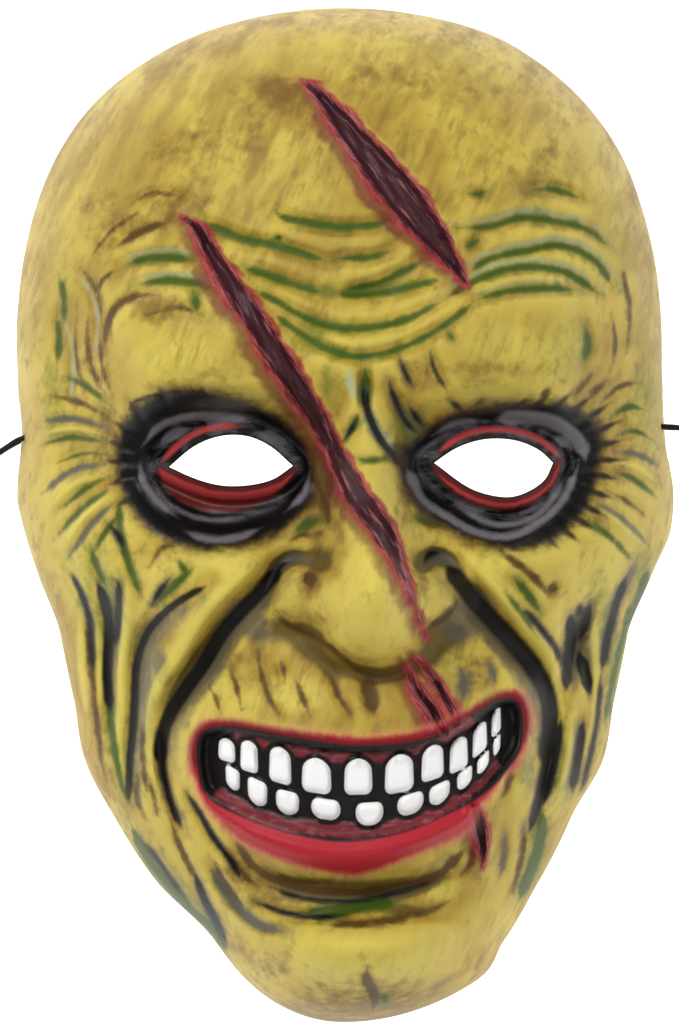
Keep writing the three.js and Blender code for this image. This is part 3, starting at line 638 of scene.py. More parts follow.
PATCHES = {
    # grey airbrush and painted shade beside the nose wings and along the cheek folds
    Ink.GREY: (
        Patch(-14.4, 39.6, 5, 2.2, 1.0, -40),
        Patch(19, 40, 5.6, 2.6, 1.1, 38),
        Patch(-28.4, 36, 2.4, 3.6, 0.9, 25),
        Patch(-30.2, 31, 1.8, 4, 0.7, 5),
        Patch(27.6, 26, 2.6, 6, 0.6, 15),
        Patch(36.2, 36.5, 3.2, 5, 0.7),
    ),
    Ink.BLACK: (
        Patch(36, 39.4, 2.6, 2.4, 0.7),
        Patch(8.2, 56, 2.6, 1.6, 0.8, -30),
        Patch(38.4, 57.6, 2.4, 3, 0.8),
    ),
    Ink.GREEN: (
        Patch(-35.4, 40, 3.4, 6, 0.8),
        Patch(-33, 25, 2.0, 6, 0.7),
        Patch(-30.6, 36, 1.8, 4, 0.6),
        Patch(40, 38, 3.4, 7, 0.7, 10),
        Patch(45.4, 43.4, 2.4, 5, 0.7, -10),
        Patch(-27, 15, 2.6, 6, 0.5, 35),
        Patch(29.6, 16.5, 2, 7, 0.55, -15),
        Patch(33.6, 25, 3, 6, 0.5),
        Patch(1.5, 12, 8, 1.3, 0.9),
        Patch(9.6, 58.6, 3.6, 2.4, 0.9, -30),
        Patch(-40, 56, 4, 6, 0.45),
        Patch(12.6, 58, 2.6, 1.2, 0.8),
        Patch(-5, 67.4, 3.8, 2.2, 0.7, -30),
        Patch(-3, 71.8, 2.6, 0.9, 0.9),
        Patch(-39, 45, 5, 6, 0.5),
        Patch(-1.5, 62, 2.6, 3.4, 0.5, 10),
        Patch(-44, 62, 3, 9, 0.5),
        Patch(46, 60, 3, 9, 0.5),
        Patch(33, 66.5, 7, 3.5, 0.4, 20),
    ),
    # brown wash, with painted shade under the brows, eyes and nose, on the nose's flanks and at the chin's
    # foot
    Ink.BROWN: (
        Patch(-15.6, 15, 3.4, 2.2, 0.8),
        Patch(41.4, 56, 4, 5, 0.6),
        Patch(38.6, 50.4, 4.6, 3, 0.6, -35),
        Patch(-35.6, 57.6, 3, 5, 0.6),
        Patch(-5, 43.4, 2.6, 2.2, 0.8),
        Patch(-3.6, 39.4, 3.4, 2.2, 0.25, 20),
        Patch(11.6, 43.4, 1.8, 2.4, 0.6),
        Patch(-0.6, 50, 2.2, 4, 0.6),
        Patch(9, 51, 1.8, 3.4, 0.6),
        Patch(-14, 35, 7, 2.4, 0.5, -20),
        Patch(20, 34.6, 4, 2.4, 0.5, 30),
        Patch(0.5, 10.4, 3.6, 1.1, 0.8),
        Patch(-13, 13, 5, 2.4, 0.8, -25),
        Patch(15, 15.6, 5, 1.4, 0.7, 20),
        Patch(5, 2.2, 4, 2.2, 0.75),
        Patch(4, -0.6, 20, 6.4, 0.8),
        Patch(-10, 6, 3, 3, 0.5, -40),
        Patch(-9.6, 91, 5, 2.2, 0.9, -15),
        Patch(-22, 86.6, 12, 2.4, 0.45, 20),
        Patch(-15, 88, 5, 5, 0.45),
        Patch(14, 92.4, 18, 2.6, 0.4, -8),
        Patch(30, 84, 8, 5, 0.3, -30),
        Patch(-25, 80, 6, 2.6, 0.6),
        Patch(-36, 79, 6, 5, 0.5, 40),
        Patch(-28, 70, 5, 1.8, 0.85),
        Patch(22, 63.6, 13, 1.8, 0.5),
        Patch(-22, 63, 10, 1.4, 0.5, 10),
        Patch(12, 64, 5, 4, 0.5),
        Patch(-37, 66, 4, 6, 0.4),
        Patch(-25, 46.4, 8, 1.8, 0.5, 12),
        Patch(20, 47, 6, 1.6, 0.5, -20),
        Patch(-36, 27, 2.4, 7, 0.5),
        Patch(-26, 21, 3, 4, 0.5, 30),
        Patch(40.6, 30, 2, 6, 0.4),
    ),
    # painted highlights on the nose, brows, cheeks, chin, sides and forehead
    Ink.LIGHT: (
        Patch(-7, 32.6, 6, 2.4, 0.9),
        Patch(13, 34.8, 3, 2.4, 0.7),
        Patch(4.8, 42, 3.4, 8, 1.0),
        Patch(-25, 65.6, 9, 2.6, 0.9, 5),
        Patch(26, 66.5, 11, 2.6, 0.8, -5),
        Patch(-17, 45.4, 6, 2.2, 0.8, -20),
        Patch(23, 45.4, 6, 2.2, 0.7, 20),
        Patch(39.4, 46, 4, 3.4, 0.7),
        Patch(5, 7, 14, 3.4, 0.8),
        Patch(15, 13.4, 4.4, 1.6, 0.8, 10),
        Patch(-14, 31.6, 5, 2, 0.6),
        Patch(16.5, 36.6, 1.6, 3, 0.8, 10),
        Patch(-41, 50, 5, 12, 0.3),
        Patch(0, 83, 22, 5, 0.3),
    ),
}


@dataclass(frozen=True)
class Tooth:
    """One moulded tooth: its middle and its half sizes in percent."""

    x: float
    y: float
    wide: float
    high: float


UPPER_TEETH = (
    Tooth(-17.6, 27.1, 1.25, 1.1),
    Tooth(-14.2, 26.5, 1.3, 1.5),
    Tooth(-9.5, 25.65, 1.63, 1.75),
    Tooth(-4.0, 24.65, 2.2, 1.7),
    Tooth(2.3, 24.55, 2.1, 1.75),
    Tooth(8.5, 24.85, 2.15, 1.85),
    Tooth(13.55, 25.9, 1.65, 1.68),
    Tooth(17.5, 26.7, 1.35, 1.6),
    Tooth(20.7, 28.2, 1.05, 1.45),
    Tooth(23.2, 29.8, 0.68, 1.2),
)
LOWER_TEETH = (
    Tooth(-16.7, 24.3, 1.05, 1.05),
    Tooth(-12.95, 22.95, 1.45, 1.25),
    Tooth(-8.4, 21.95, 1.73, 1.15),
    Tooth(-2.6, 21.35, 2.25, 0.98),
    Tooth(4.0, 20.9, 2.1, 1.1),
    Tooth(10.2, 21.85, 2.0, 1.0),
    Tooth(14.6, 22.85, 1.55, 1.0),
    Tooth(18.4, 24.3, 1.12, 0.9),
    Tooth(21.2, 25.8, 0.88, 0.8),
    Tooth(23.3, 27.5, 0.52, 0.8),
)


@dataclass(frozen=True)
class Station:
    """A place along a wound: half widths of its dark core and of its raw red margin, in mm."""

    x: float
    y: float
    core: float
    raw: float


WOUNDS = {
    "forehead": (
        Station(-6.4, 92.5, 0.0, 0.3),
        Station(-4, 91.2, 1.4, 2.6),
        Station(-1, 89, 2.5, 3.9),
        Station(2.5, 86.2, 3.6, 5.2),
        Station(6, 83.4, 4.6, 6.2),
        Station(9.5, 80.6, 4.8, 6.5),
        Station(13, 77.7, 3.8, 5.2),
        Station(16.3, 74.9, 2.2, 3.2),
        Station(19, 72, 0.0, 0.4),
    ),
    "brow to nose": (
        Station(-25, 79.4, 0.0, 0.6),
        Station(-22, 77.8, 1.5, 2.8),
        Station(-19, 74.5, 2.1, 3.4),
        Station(-14.5, 70, 2.8, 4.2),
        Station(-9.5, 65, 3.2, 4.6),
        Station(-5, 60.5, 2.6, 3.8),
        Station(-1, 55.8, 2.2, 3.2),
        Station(2, 52, 3.2, 4.4),
        Station(6.2, 48.2, 2.9, 3.9),
        Station(8.2, 45.4, 1.1, 2.7),
        Station(10.5, 42, 0.2, 1.6),
        Station(12.4, 38.2, 0.0, 0.5),
    ),
    "upper lip": (
        Station(9.6, 35.2, 0.2, 0.8),
        Station(11.4, 32.8, 1.0, 2.8),
        Station(13.6, 31, 1.4, 3.6),
        Station(15.2, 28.8, 1.2, 3.0),
    ),
    "upper lip, outer": (
        Station(11.2, 36.2, 0.2, 0.7),
        Station(14, 33.8, 1.0, 2.2),
        Station(16, 31.6, 1.0, 2.2),
        Station(17.6, 29.8, 0.6, 1.8),
    ),
    "lower lip": (
        Station(19.6, 21.8, 1.6, 2.6),
        Station(20.6, 19.6, 1.9, 2.8),
        Station(21.2, 17.6, 1.3, 2.2),
        Station(21.1, 15.6, 0.2, 0.8),
    ),
}

EYE_HOLES = {
    "left": (
        ((-26.4, 54.7), (-22.6, 56.7), (-18.6, 57.7), (-14.6, 57.7), (-11, 56.7), (-7.6, 54.8)),
        ((-7.6, 54.8), (-10.6, 53.5), (-14.4, 52.9), (-18.6, 52.9), (-22.6, 53.6), (-26.4, 54.7)),
    ),
    "right": (
        ((13.8, 55.1), (17.4, 56.6), (21.6, 57.4), (26, 57.3), (29.6, 56.4), (31.9, 55.1)),
        ((31.9, 55.1), (30.4, 53.3), (27, 52), (23.6, 51.8), (19, 52.7), (13.8, 55.1)),
    ),
}

@dataclass(frozen=True)
class Swell:
    """A ring of raised or sunk skin round an eye hole, in mm: how far away, half width and rise."""

    away: float
    wide: float
    rise: float


LID_SWELLS = (
    Swell(1.0, 3.6, 1.7),
    Swell(5.2, 1.8, -1.2),
)

SMOKE = (
    (
        (-33.4, 58.8), (-29.6, 61.2), (-23.7, 62.3), (-16.6, 61.5), (-12.2, 60.3), (-7.8, 58.5),
        (-5, 55.8),
        (-4.4, 52), (-7.4, 49.4), (-11.3, 47.8), (-16.6, 46.8), (-22.8, 46.8), (-29, 48.5),
        (-33.2, 51.8), (-34.2, 55.3),
    ),
    (
        (8.8, 55.8), (11.4, 57.6), (16, 59.6), (21.4, 60.6), (27, 61), (33.6, 60.8), (37.6, 59.4),
        (39.2, 56.8),
        (38.6, 53.8), (36.8, 50.6), (33.4, 48.2), (28.6, 46.8), (23.6, 46.8), (18, 48), (13, 49.8),
        (9.4, 52.6),
    ),
)

RED_LIDS = (
    (
        (-28.2, 54.7), (-24.6, 54), (-18.6, 53.2), (-12, 53.2), (-7.2, 54.6), (-8.6, 52.9),
        (-11.6, 51.4), (-15.6, 50.5), (-20, 50.3), (-24, 51.2), (-27.2, 53),
    ),
    (
        (13.4, 55), (18, 53.3), (23.4, 52.1), (28, 52.5), (31.4, 54.6), (33.2, 55.4),
        (32.2, 53.2), (29, 51.3), (25, 50.6), (20.4, 51), (16, 52.6),
    ),
)

UPPER_LIP_EDGE = (
    (-22.6, 24), (-23.4, 26), (-23, 28), (-21.5, 29.6), (-19, 30.1), (-10, 29.3), (0, 28.6),
    (5, 28.5), (13.5, 29.4), (20.5, 31.5), (26, 33), (28.2, 31.5), (28.6, 29), (26.8, 26.2),
)
LOWER_LIP_EDGE = (
    (24.5, 24.4), (20.5, 21), (18.6, 19), (12, 17.1), (4, 15.1), (0, 14.9), (-8, 16),
    (-15, 17.9), (-18, 19.5), (-21, 21.6),
)
MOUTH = (
    (-21.6, 28.4), (-18, 29.3), (-13, 28.9), (-8, 28.3), (2, 27.4), (12, 28), (18, 29.7),
    (23.5, 31.9), (26.6, 31.4), (27.1, 28.6), (26, 26.3), (21.5, 23), (15, 20.7), (8, 19),
    (0, 18.3), (-8, 19.1), (-16, 20.9), (-20.4, 22.6), (-21.8, 25),
)
UPPER_GUM = (
    (-15.9, 28.2), (-12.2, 27.7), (-7.2, 27), (-1, 26.3), (5.2, 26.4), (11.2, 27), (15.6, 28.3),
    (19.3, 29.8),
)
LOWER_GUM = (
    (-18.6, 22.7), (-15, 21.3), (-10.5, 20.1), (-5.4, 19.6), (1, 19.3), (7.2, 19.6), (12.6, 20.6),
    (16.8, 22.1), (20, 23.8), (22.6, 25.6),
)


class FaceForm:
    """The outer form of the face as a height over the front view, without its fine relief.

    Attributes:
        FADE: the share of the way in from the rim over which the mounds rise.
    """

    FADE = 0.16

    def __init__(self) -> None:
        """Prepares the curves through the sections."""
        at = np.array([row.y for row in SECTIONS]) / 100
        reach = self.circle(at)
        self.at = at
        self.left = np.array([row.left for row in SECTIONS]) / reach
        self.right = np.array([row.right for row in SECTIONS]) / reach
        self.crest = np.array([row.depth for row in SECTIONS]) / reach
        self.arch = np.array([row.arch for row in SECTIONS])

    @staticmethod
    def circle(y: Array) -> Array:
        """Gives how far a half circle over the height reaches at a share of it."""
        return np.sqrt(np.maximum(0.0, 1 - (2 * y - 1) ** 2))

    def column(self, value: Array, y: Array) -> Array:
        """Reads one column of the sections as a smooth curve that never overshoots a row.

        Args:
            value: the column, one value for each section.
            y: shares of the height.

        Returns:
            The value at each share.
        """
        at = self.at
        step = np.diff(value) / np.diff(at)
        product = step[:-1] * step[1:]
        slope = np.zeros(len(at))
        both = product > 0
        slope[1:-1][both] = 2 * product[both] / (step[:-1] + step[1:])[both]
        held = np.clip(y, at[0], at[-1])
        i = np.clip(np.searchsorted(at, held, side="right") - 1, 0, len(at) - 2)
        gap = at[i + 1] - at[i]
        t = (held - at[i]) / gap
        bend = slope[i] * gap * t * (1 - t) ** 2 - slope[i + 1] * gap * t**2 * (1 - t)
        return value[i] + (value[i + 1] - value[i]) * ease(t) + bend

    def place(self, u: Array, v: Array, crowding: float) -> tuple[Array, Array]:
        """Presses a square from -1 to 1 onto the front view.

        Args:
            u: places across the square.
            v: places up the square.
            crowding: how much the rows close up towards the rim.

        Returns:
            The places across and up, in millimetres.
        """
        a = u * np.sqrt(1 - v * v / 2)
        b = v * np.sqrt(1 - u * u / 2)
        crowd = 1 + crowding * (1 - a * a - b * b)
        a, b = a * crowd, b * crowd
        y = (1 + b) / 2
        left, right = self.column(self.left, y), self.column(self.right, y)
        x = (self.circle(y) * (left + right) + a * (right - left)) / 2
        return to_x(100 * x), to_y(100 * y)

    def main_form(self, x: Array, y: Array) -> tuple[Array, Array]:
        """Gives the height of the dome with its mounds, and how much of any relief shows there.

        Args:
            x: places across, in millimetres.
            y: places up, in millimetres.

        Returns:
            The height in millimetres, and a share that dies away at the rim.
        """
        share_x = x / WIDTH * (RIGHT_END - LEFT_END) + (RIGHT_END + LEFT_END) / 2
        share_y = np.clip(y / HEIGHT + 0.5, 0, 1)
        reach = self.circle(share_y)
        left, right = self.column(self.left, share_y), self.column(self.right, share_y)
        a = (2 * share_x - reach * (left + right)) / (right - left)
        across = np.clip(np.abs(a) / np.maximum(reach, 1e-6), 0, 1)
        arch = self.column(self.arch, share_y)
        dome = DEPTH * reach * self.column(self.crest, share_y) * np.sqrt(1 - across**arch)
        fade = ease((1 - np.hypot(a, 2 * share_y - 1)) / self.FADE)
        relief = np.zeros_like(dome)
        for mound in MOUNDS:
            up = 100 * share_y - mound.y
            tall = np.where(up > 0, mound.above, mound.below)
            distance = np.hypot((100 * share_x - mound.x) / mound.wide, up / tall)
            relief += mound.rise / 100 * DEPTH * bump(distance)
        return dome + relief * fade, fade


def eye_outline(lids: tuple[tuple[Place, ...], ...], steps: int = 6) -> Array:
    """Joins an upper and a lower lid to an almond with sharp corners."""
    return np.vstack([smooth_line(front(lid), steps=steps)[:-1] for lid in lids])


class Features:
    """The sculpted and painted details, measured at a set of places on the front view.

    A brushed line is kept as a ramp that falls with the distance from it, so that it stays crisp
    between the points of the mesh. Depths and widths are in millimetres.

    Attributes:
        TAPER: how long the thinning end of a brushed line is.
        RAMP: how far out the ramp falls by 1, against half the width of the paint.
        THINNEST_RAMP: the least distance over which the ramp falls by 1.
        PAINT_EDGE: the value of the ramp at half the width of the paint.
        ENDS: the share of a line's length that its rounded fading leaves out at each end.
        LEAN: how far the airbrushed paint moves to its side, against its half width.
        LIT_AWAY: how far the painted highlight lies from its line, against half the width of the paint.
        LIT_WIDE: half the width of the painted highlight, against the same.
        PATCH_REACH: how far out a patch fades to nothing, against its reach.
        HELD: the depth beyond which a measure is held.
        HELD_ROUND_EYES: the same for the measure of the eye holes.
        WOUND_REACH: how far from a wound's middle its strands are measured.
    """

    TAPER = 6.0
    RAMP = 1.3
    THINNEST_RAMP = 2.2
    PAINT_EDGE = 0.5
    ENDS = 0.03
    LEAN = 0.65
    LIT_AWAY = 2.4
    LIT_WIDE = 2.2
    PATCH_REACH = 1.25
    HELD = 5.0
    HELD_ROUND_EYES = 10.0
    WOUND_REACH = 12.0

    def __init__(self, x: Array, y: Array) -> None:
        """Measures all features at once.

        Args:
            x: places across, in millimetres.
            y: places up, in millimetres.
        """
        self.x, self.y = x, y
        self.relief = np.zeros_like(x)
        self.paint = {ink: np.zeros_like(x) for ink in Ink}
        self.mist = {ink: np.zeros_like(x) for ink in Ink}
        self.depths: dict[str, Array] = {}
        self.draw_creases()
        self.draw_patches()
        self.draw_eyes()
        self.draw_mouth()
        self.draw_wounds()

    @staticmethod
    def lay(layer: Array, near: Array | slice, cover: Array) -> None:
        """Lays a paint or a depth on the near places, keeping the larger of old and new."""
        layer[near] = np.maximum(layer[near], cover)

    def draw_creases(self) -> None:
        """Presses in each crease and brushes its paint along it."""
        for crease in CREASES:
            line = smooth_line(front(crease.path))
            ramp = max(self.RAMP * crease.line, self.THINNEST_RAMP)
            reach = max(crease.wide, ramp, 2 * crease.halo, 5.0 * crease.line * crease.lit)
            found = nearness(self.x, self.y, line, reach)
            ends = np.sqrt(np.sin(np.pi * (self.ENDS + (1 - 2 * self.ENDS) * found.along)))
            self.relief[found.near] -= crease.deep * bump(found.distance / crease.wide) * ends
            length = np.hypot(*np.diff(line, axis=0).T).sum()
            to_end = length * np.minimum(found.along, 1 - found.along)
            taper = 1.4 * ease(to_end / min(self.TAPER, 0.5 * length)) - 0.4
            edge = crease.line * (0.4 + 0.6 * crease.cover) * taper
            cover = self.PAINT_EDGE + (edge - found.distance) / ramp
            self.lay(self.paint[crease.ink], found.near, np.clip(cover, 0, 1))
            if crease.halo:
                offset = found.side * found.distance - self.LEAN * crease.lean * crease.halo
                mist = 0.9 * crease.cover * bump(np.abs(offset) / crease.halo) * ends
                # a black fold's halo is grey airbrush and painted shade, leaning to one side
                soft = Ink.GREY if crease.ink is Ink.BLACK else crease.ink
                self.lay(self.mist[soft], found.near, mist)
            # painted highlight: a pale band along the crease's upper side
            if crease.lit:
                offset = found.side * found.distance - self.LIT_AWAY * crease.line
                lit = crease.lit * bump(np.abs(offset) / (self.LIT_WIDE * crease.line)) * ends
                self.lay(self.mist[Ink.PALE], found.near, lit)

    def within(self, outline: tuple[Place, ...]) -> Array:
        """Gives how deep the places lie inside a smooth closed outline."""
        return inside(self.x, self.y, smooth_line(front(outline), closed=True))

    def nowhere(self) -> Array:
        """Gives a measure that is far outside at every place."""
        return np.full_like(self.x, -self.HELD)

    def draw_patches(self) -> None:
        """Brushes the soft patches."""
        for ink, patches in PATCHES.items():
            for patch in patches:
                dx, dy = self.x - to_x(patch.x), self.y - to_y(patch.y)
                turn = math.radians(patch.tilt)
                across = (dx * math.cos(turn) + dy * math.sin(turn)) / (patch.wide / 100 * WIDTH)
                up = (dy * math.cos(turn) - dx * math.sin(turn)) / (patch.high / 100 * HEIGHT)
                cover = patch.cover * ease(self.PATCH_REACH - np.hypot(across, up))
                self.lay(self.mist[ink], slice(None), cover)

    def draw_eyes(self) -> None:
        """Shapes the thick lids round the holes and marks the smoke and the red lids."""
        outlines = [eye_outline(lids) for lids in EYE_HOLES.values()]
        hole = np.maximum(*(inside(self.x, self.y, outline, self.HELD_ROUND_EYES) for outline in outlines))
        for swell in LID_SWELLS:
            self.relief += swell.rise * bump(np.abs(hole + swell.away) / swell.wide)
        self.depths["hole"] = hole
        for name, pair in (("smoke", SMOKE), ("lid", RED_LIDS)):
            self.depths[name] = np.maximum(*(self.within(outline) for outline in pair))

    def tooth_depth(self, tooth: Tooth, slant: float, biting: int) -> Array:
        """Gives how deep places lie inside one tooth, which narrows towards its gum.

        Args:
            tooth: its middle and half sizes.
            slant: how steeply the row of teeth climbs at it.
            biting: -1 where it bites downwards and 1 where it bites upwards.

        Returns:
            The depth in millimetres, negative outside.
        """
        across = self.x - to_x(tooth.x)
        up = (self.y - to_y(tooth.y) - across * slant) * biting
        wide, high = tooth.wide / 100 * WIDTH, tooth.high / 100 * HEIGHT
        to_gum = np.clip(0.5 - up / (2 * high), 0, 1)
        half = wide * (1 - 0.1 * to_gum**1.5)
        corner = np.minimum(wide * (0.5 + 0.5 * to_gum), 0.98 * high)
        qx, qy = np.abs(across) - half + corner, np.abs(up) - high + corner
        outside = np.hypot(np.maximum(qx, 0), np.maximum(qy, 0))
        return corner - outside - np.minimum(np.maximum(qx, qy), 0)

    def draw_mouth(self) -> None:
        """Shapes the lips, the recess of the mouth, the gums and the two rows of teeth."""
        mouth, lips = self.within(MOUTH), self.within(UPPER_LIP_EDGE + LOWER_LIP_EDGE)
        lip = np.minimum(lips, -mouth)
        tooth, gum = self.nowhere(), self.nowhere()
        for row, biting in ((UPPER_TEETH, -1), (LOWER_TEETH, 1)):
            middles = front(tuple((t.x, t.y) for t in row))
            slopes = np.gradient(middles, axis=0)
            for one, slope in zip(row, slopes):
                tooth = np.maximum(tooth, self.tooth_depth(one, slope[1] / slope[0], biting))
        for line, half in ((LOWER_GUM, 2.1), (UPPER_GUM, 1.5)):
            found = nearness(self.x, self.y, smooth_line(front(line)), self.HELD)
            self.lay(gum, found.near, np.clip(half - found.distance, -self.HELD, self.HELD))
        self.depths |= {"lip": lips, "mouth": mouth, "tooth": tooth, "gum": np.minimum(gum, mouth + 0.5)}
        self.relief += 2.6 * ease(lip / 4.0) + 1.0 * ease((lip + 3) / 6)
        self.relief -= 4.2 * ease(mouth / 2.6)
        self.relief += 1.6 * ease((gum + 1) / 2.4) * ease(mouth / 2)
        self.relief += 2.8 * ease((tooth + 0.5) / 1.6) * ease(mouth / 1.2 + 0.4)

    def draw_wounds(self) -> None:
        """Raises the torn edges of the wounds and opens their cores."""
        core, raw = self.nowhere(), self.nowhere()
        along, across = np.zeros_like(self.x), np.zeros_like(self.x)
        for stations in WOUNDS.values():
            line = smooth_line(front(tuple((s.x, s.y) for s in stations)))
            found = nearness(self.x, self.y, line, self.WOUND_REACH)
            marks = np.linspace(0, 1, len(stations))
            lengths = np.hypot(*np.diff(line, axis=0).T)
            travelled = np.concatenate(([0], np.cumsum(lengths))) / lengths.sum()
            place = np.interp(found.along, travelled, np.linspace(0, 1, len(line)))
            for name, depth in (("core", core), ("raw", raw)):
                half = np.interp(place, marks, [getattr(s, name) for s in stations])
                here = np.clip(half - found.distance, -self.HELD, self.HELD)
                if name == "raw":
                    closer = here > depth[found.near]
                    chosen = found.near[closer]
                    along[chosen] = found.along[closer] * lengths.sum()
                    across[chosen] = (found.side * found.distance)[closer]
                self.lay(depth, found.near, here)
        self.depths |= {"core": core, "raw": raw, "along": along, "across": across}
        strands = np.sin(1.9 * across + 0.12 * along) * np.sin(0.33 * along + 0.8)
        self.relief += 1.7 * ease((raw + 1.2) / 3.2) - 3.0 * ease((core + 0.2) / 1.8)
        self.relief += 0.5 * strands * ease((core + 0.5) / 1.5)


class Shade(Enum):
    """The paints and plastics of the mask, as sRGB hex values."""

    YELLOW = "#c8b04a"
    OCHRE = "#ad9038"
    # painted highlight yellow, also the dry brush on the crests
    HIGHLIGHT_AND_DRYBRUSH = "#d4c257"
    TAN = "#c8b473"
    WASH = "#85682a"
    # antique wash in the hollows, partly painted shade
    ANTIQUE_WASH_AND_SHADE = "#4f3d17"
    AIRBRUSH = "#14110a"
    # brown wash, partly painted shade
    UMBER_WASH_AND_SHADE = "#6a4c1c"
    MOSS = "#65751c"
    BROWN = "#4c3414"
    GREEN = "#38500f"
    # painted highlight in pale grey-green
    PALE = "#a9b08a"
    GREY = "#5b574c"
    # grey airbrush, partly painted shade beside the folds and nose wings
    GREY_AIRBRUSH_AND_SHADE = "#615b4a"
    BLACK = "#050403"
    SOOT = "#080808"
    # grey paint on the lids, partly painted highlight on their ridges
    LID_GREY_AND_HIGHLIGHT = "#726f74"
    LID_RED = "#b43c3c"
    LID_DARK = "#5a1713"
    RAW = "#9c2a33"
    RAW_DARK = "#681c20"
    FLESH = "#b8524f"
    CORE = "#3a1a20"
    # pale mauve strands, partly painted highlight on the wet wounds and gums
    SINEW_AND_HIGHLIGHT = "#a0626c"
    LIP = "#b0222f"
    LIP_PINK = "#c9705c"
    LIP_DARK = "#6d1219"
    MOUTH = "#15100f"
    GUM = "#782a30"
    TOOTH = "#f8f8f6"
    CREAM = "#e3dcc4"
    ELASTIC = "#17171a"
    FLOOR = "#f4f4f2"


WHITE = (1.0, 1.0, 1.0, 1.0)


def linear(shade: Shade) -> tuple[float, float, float, float]:
    """Turns a shade's sRGB hex value into linear colour."""
    code = shade.value.lstrip("#")
    parts = [int(code[i : i + 2], 16) / 255 for i in (0, 2, 4)]
    return (*(p / 12.92 if p <= 0.04045 else ((p + 0.055) / 1.055) ** 2.4 for p in parts), 1.0)


Value = bpy.types.NodeSocket | float | tuple[float, ...]
PLASTIC_IOR = 1.45


def add_node(
    tree: bpy.types.NodeTree,
    kind: str,
    feeds: dict[str | int, Value] | None = None,
    **settings: str | bool,
) -> bpy.types.Node:
    """Adds one node with its settings and links.

    Args:
        tree: the material's node tree.
        kind: the node's type.
        feeds: for each input, the socket that feeds it or its value.
        settings: the node's own options.

    Returns:
        The node.
    """
    node = tree.nodes.new(kind)
    for name, value in settings.items():
        setattr(node, name, value)
    for name, value in (feeds or {}).items():
        if isinstance(value, bpy.types.NodeSocket):
            tree.links.new(value, node.inputs[name])
        else:
            node.inputs[name].default_value = value
    return node


@dataclass
class Painter:
    """Builds a painted material layer on layer in one node tree."""

    tree: bpy.types.NodeTree
    colour: Value = 0.0

    @property
    def place(self) -> bpy.types.NodeSocket:
        """The piece's own coordinates in metres."""
        return add_node(self.tree, "ShaderNodeTexCoord").outputs["Object"]

    def measure(self, name: str) -> bpy.types.NodeSocket:
        """Reads one of the face's own measures."""
        return add_node(self.tree, "ShaderNodeAttribute", attribute_name=name).outputs["Fac"]

    def math(self, operation: str, first: Value, second: Value = 0.0) -> bpy.types.NodeSocket:
        """Joins two values by one operation."""
        feeds = {0: first, 1: second}
        return add_node(self.tree, "ShaderNodeMath", feeds, operation=operation).outputs[0]

    def noise(
        self, size_mm: float, detail: float = 3.0, stretch: tuple[float, ...] = (1, 1, 1), turn: float = 0.0
    ) -> Value:
        """Makes a cloudy pattern.

        Args:
            size_mm: the size of its blotches.
            detail: how many finer layers it has.
            stretch: how often it repeats along each axis, against the size.
            turn: how far the pattern is turned in the front view, in degrees.

        Returns:
            A value round 0.5.
        """
        feeds = {"Vector": self.place, "Rotation": (0, 0, math.radians(turn))}
        turned = add_node(self.tree, "ShaderNodeMapping", feeds).outputs[0]
        spread = add_node(self.tree, "ShaderNodeMapping", {"Vector": turned, "Scale": stretch}).outputs[0]
        feeds = {"Vector": spread, "Scale": 1 / (size_mm * MM), "Detail": detail, "Roughness": 0.6}
        return add_node(self.tree, "ShaderNodeTexNoise", feeds).outputs[0]

    def centred(self, pattern: Value) -> Value:
        """Moves a pattern from round 0.5 to round 0."""
        return self.math("SUBTRACT", pattern, 0.5)

    def swing(self, *pattern: float | tuple[float, ...]) -> Value:
        """Makes a cloudy pattern round 0."""
        return self.centred(self.noise(*pattern))

    def times(self, first: Value, second: Value) -> Value:
        """Multiplies two values."""
        return self.math("MULTIPLY", first, second)

    def plus(self, value: Value, pattern: Value, gain: Value) -> Value:
        """Adds a pattern to a value, as strongly as the gain says."""
        return self.math("ADD", value, self.times(pattern, gain))

    def step(self, value: Value, low: float, high: float, top: float = 1.0) -> Value:
        """Eases a value from 0 to the top between two limits."""
        feeds = {"Value": value, "From Min": low, "From Max": high, "To Max": top}
        return add_node(self.tree, "ShaderNodeMapRange", feeds, interpolation_type="SMOOTHSTEP").outputs[0]

    def over(self, shade: Shade, cover: Value) -> None:
        """Lays a paint over what is there."""
        self.colour = self.blend(cover, self.colour, linear(shade))

    def blend(self, cover: Value, under: Value, top: Value) -> Value:
        """Mixes two colours."""
        return add_node(self.tree, "ShaderNodeMix", {0: cover, 6: under, 7: top}, data_type="RGBA").outputs[2]

    def finish(self, roughness: Value, bump_height: Value, bump_mm: float, specular: float = 0.5) -> None:
        """Ends the material in one shader.

        Args:
            roughness: how dull it is.
            bump_height: the pattern of its fine relief.
            bump_mm: how high that relief is.
            specular: the shader's specular level.
        """
        feeds = {"Height": bump_height, "Distance": bump_mm * MM, "Strength": 1.0}
        relief = add_node(self.tree, "ShaderNodeBump", feeds).outputs[0]
        feeds = {"Base Color": self.colour, "Roughness": roughness, "Normal": relief, "IOR": PLASTIC_IOR}
        shader = add_node(self.tree, "ShaderNodeBsdfPrincipled", feeds | {"Specular IOR Level": specular})
        add_node(self.tree, "ShaderNodeOutputMaterial", {"Surface": shader.outputs[0]})


def new_material(name: str) -> tuple[bpy.types.Material, Painter]:
    """Starts an empty material and a painter for it."""
    material = bpy.data.materials.new(name)
    material.use_nodes = True
    material.node_tree.nodes.clear()
    return material, Painter(material.node_tree)


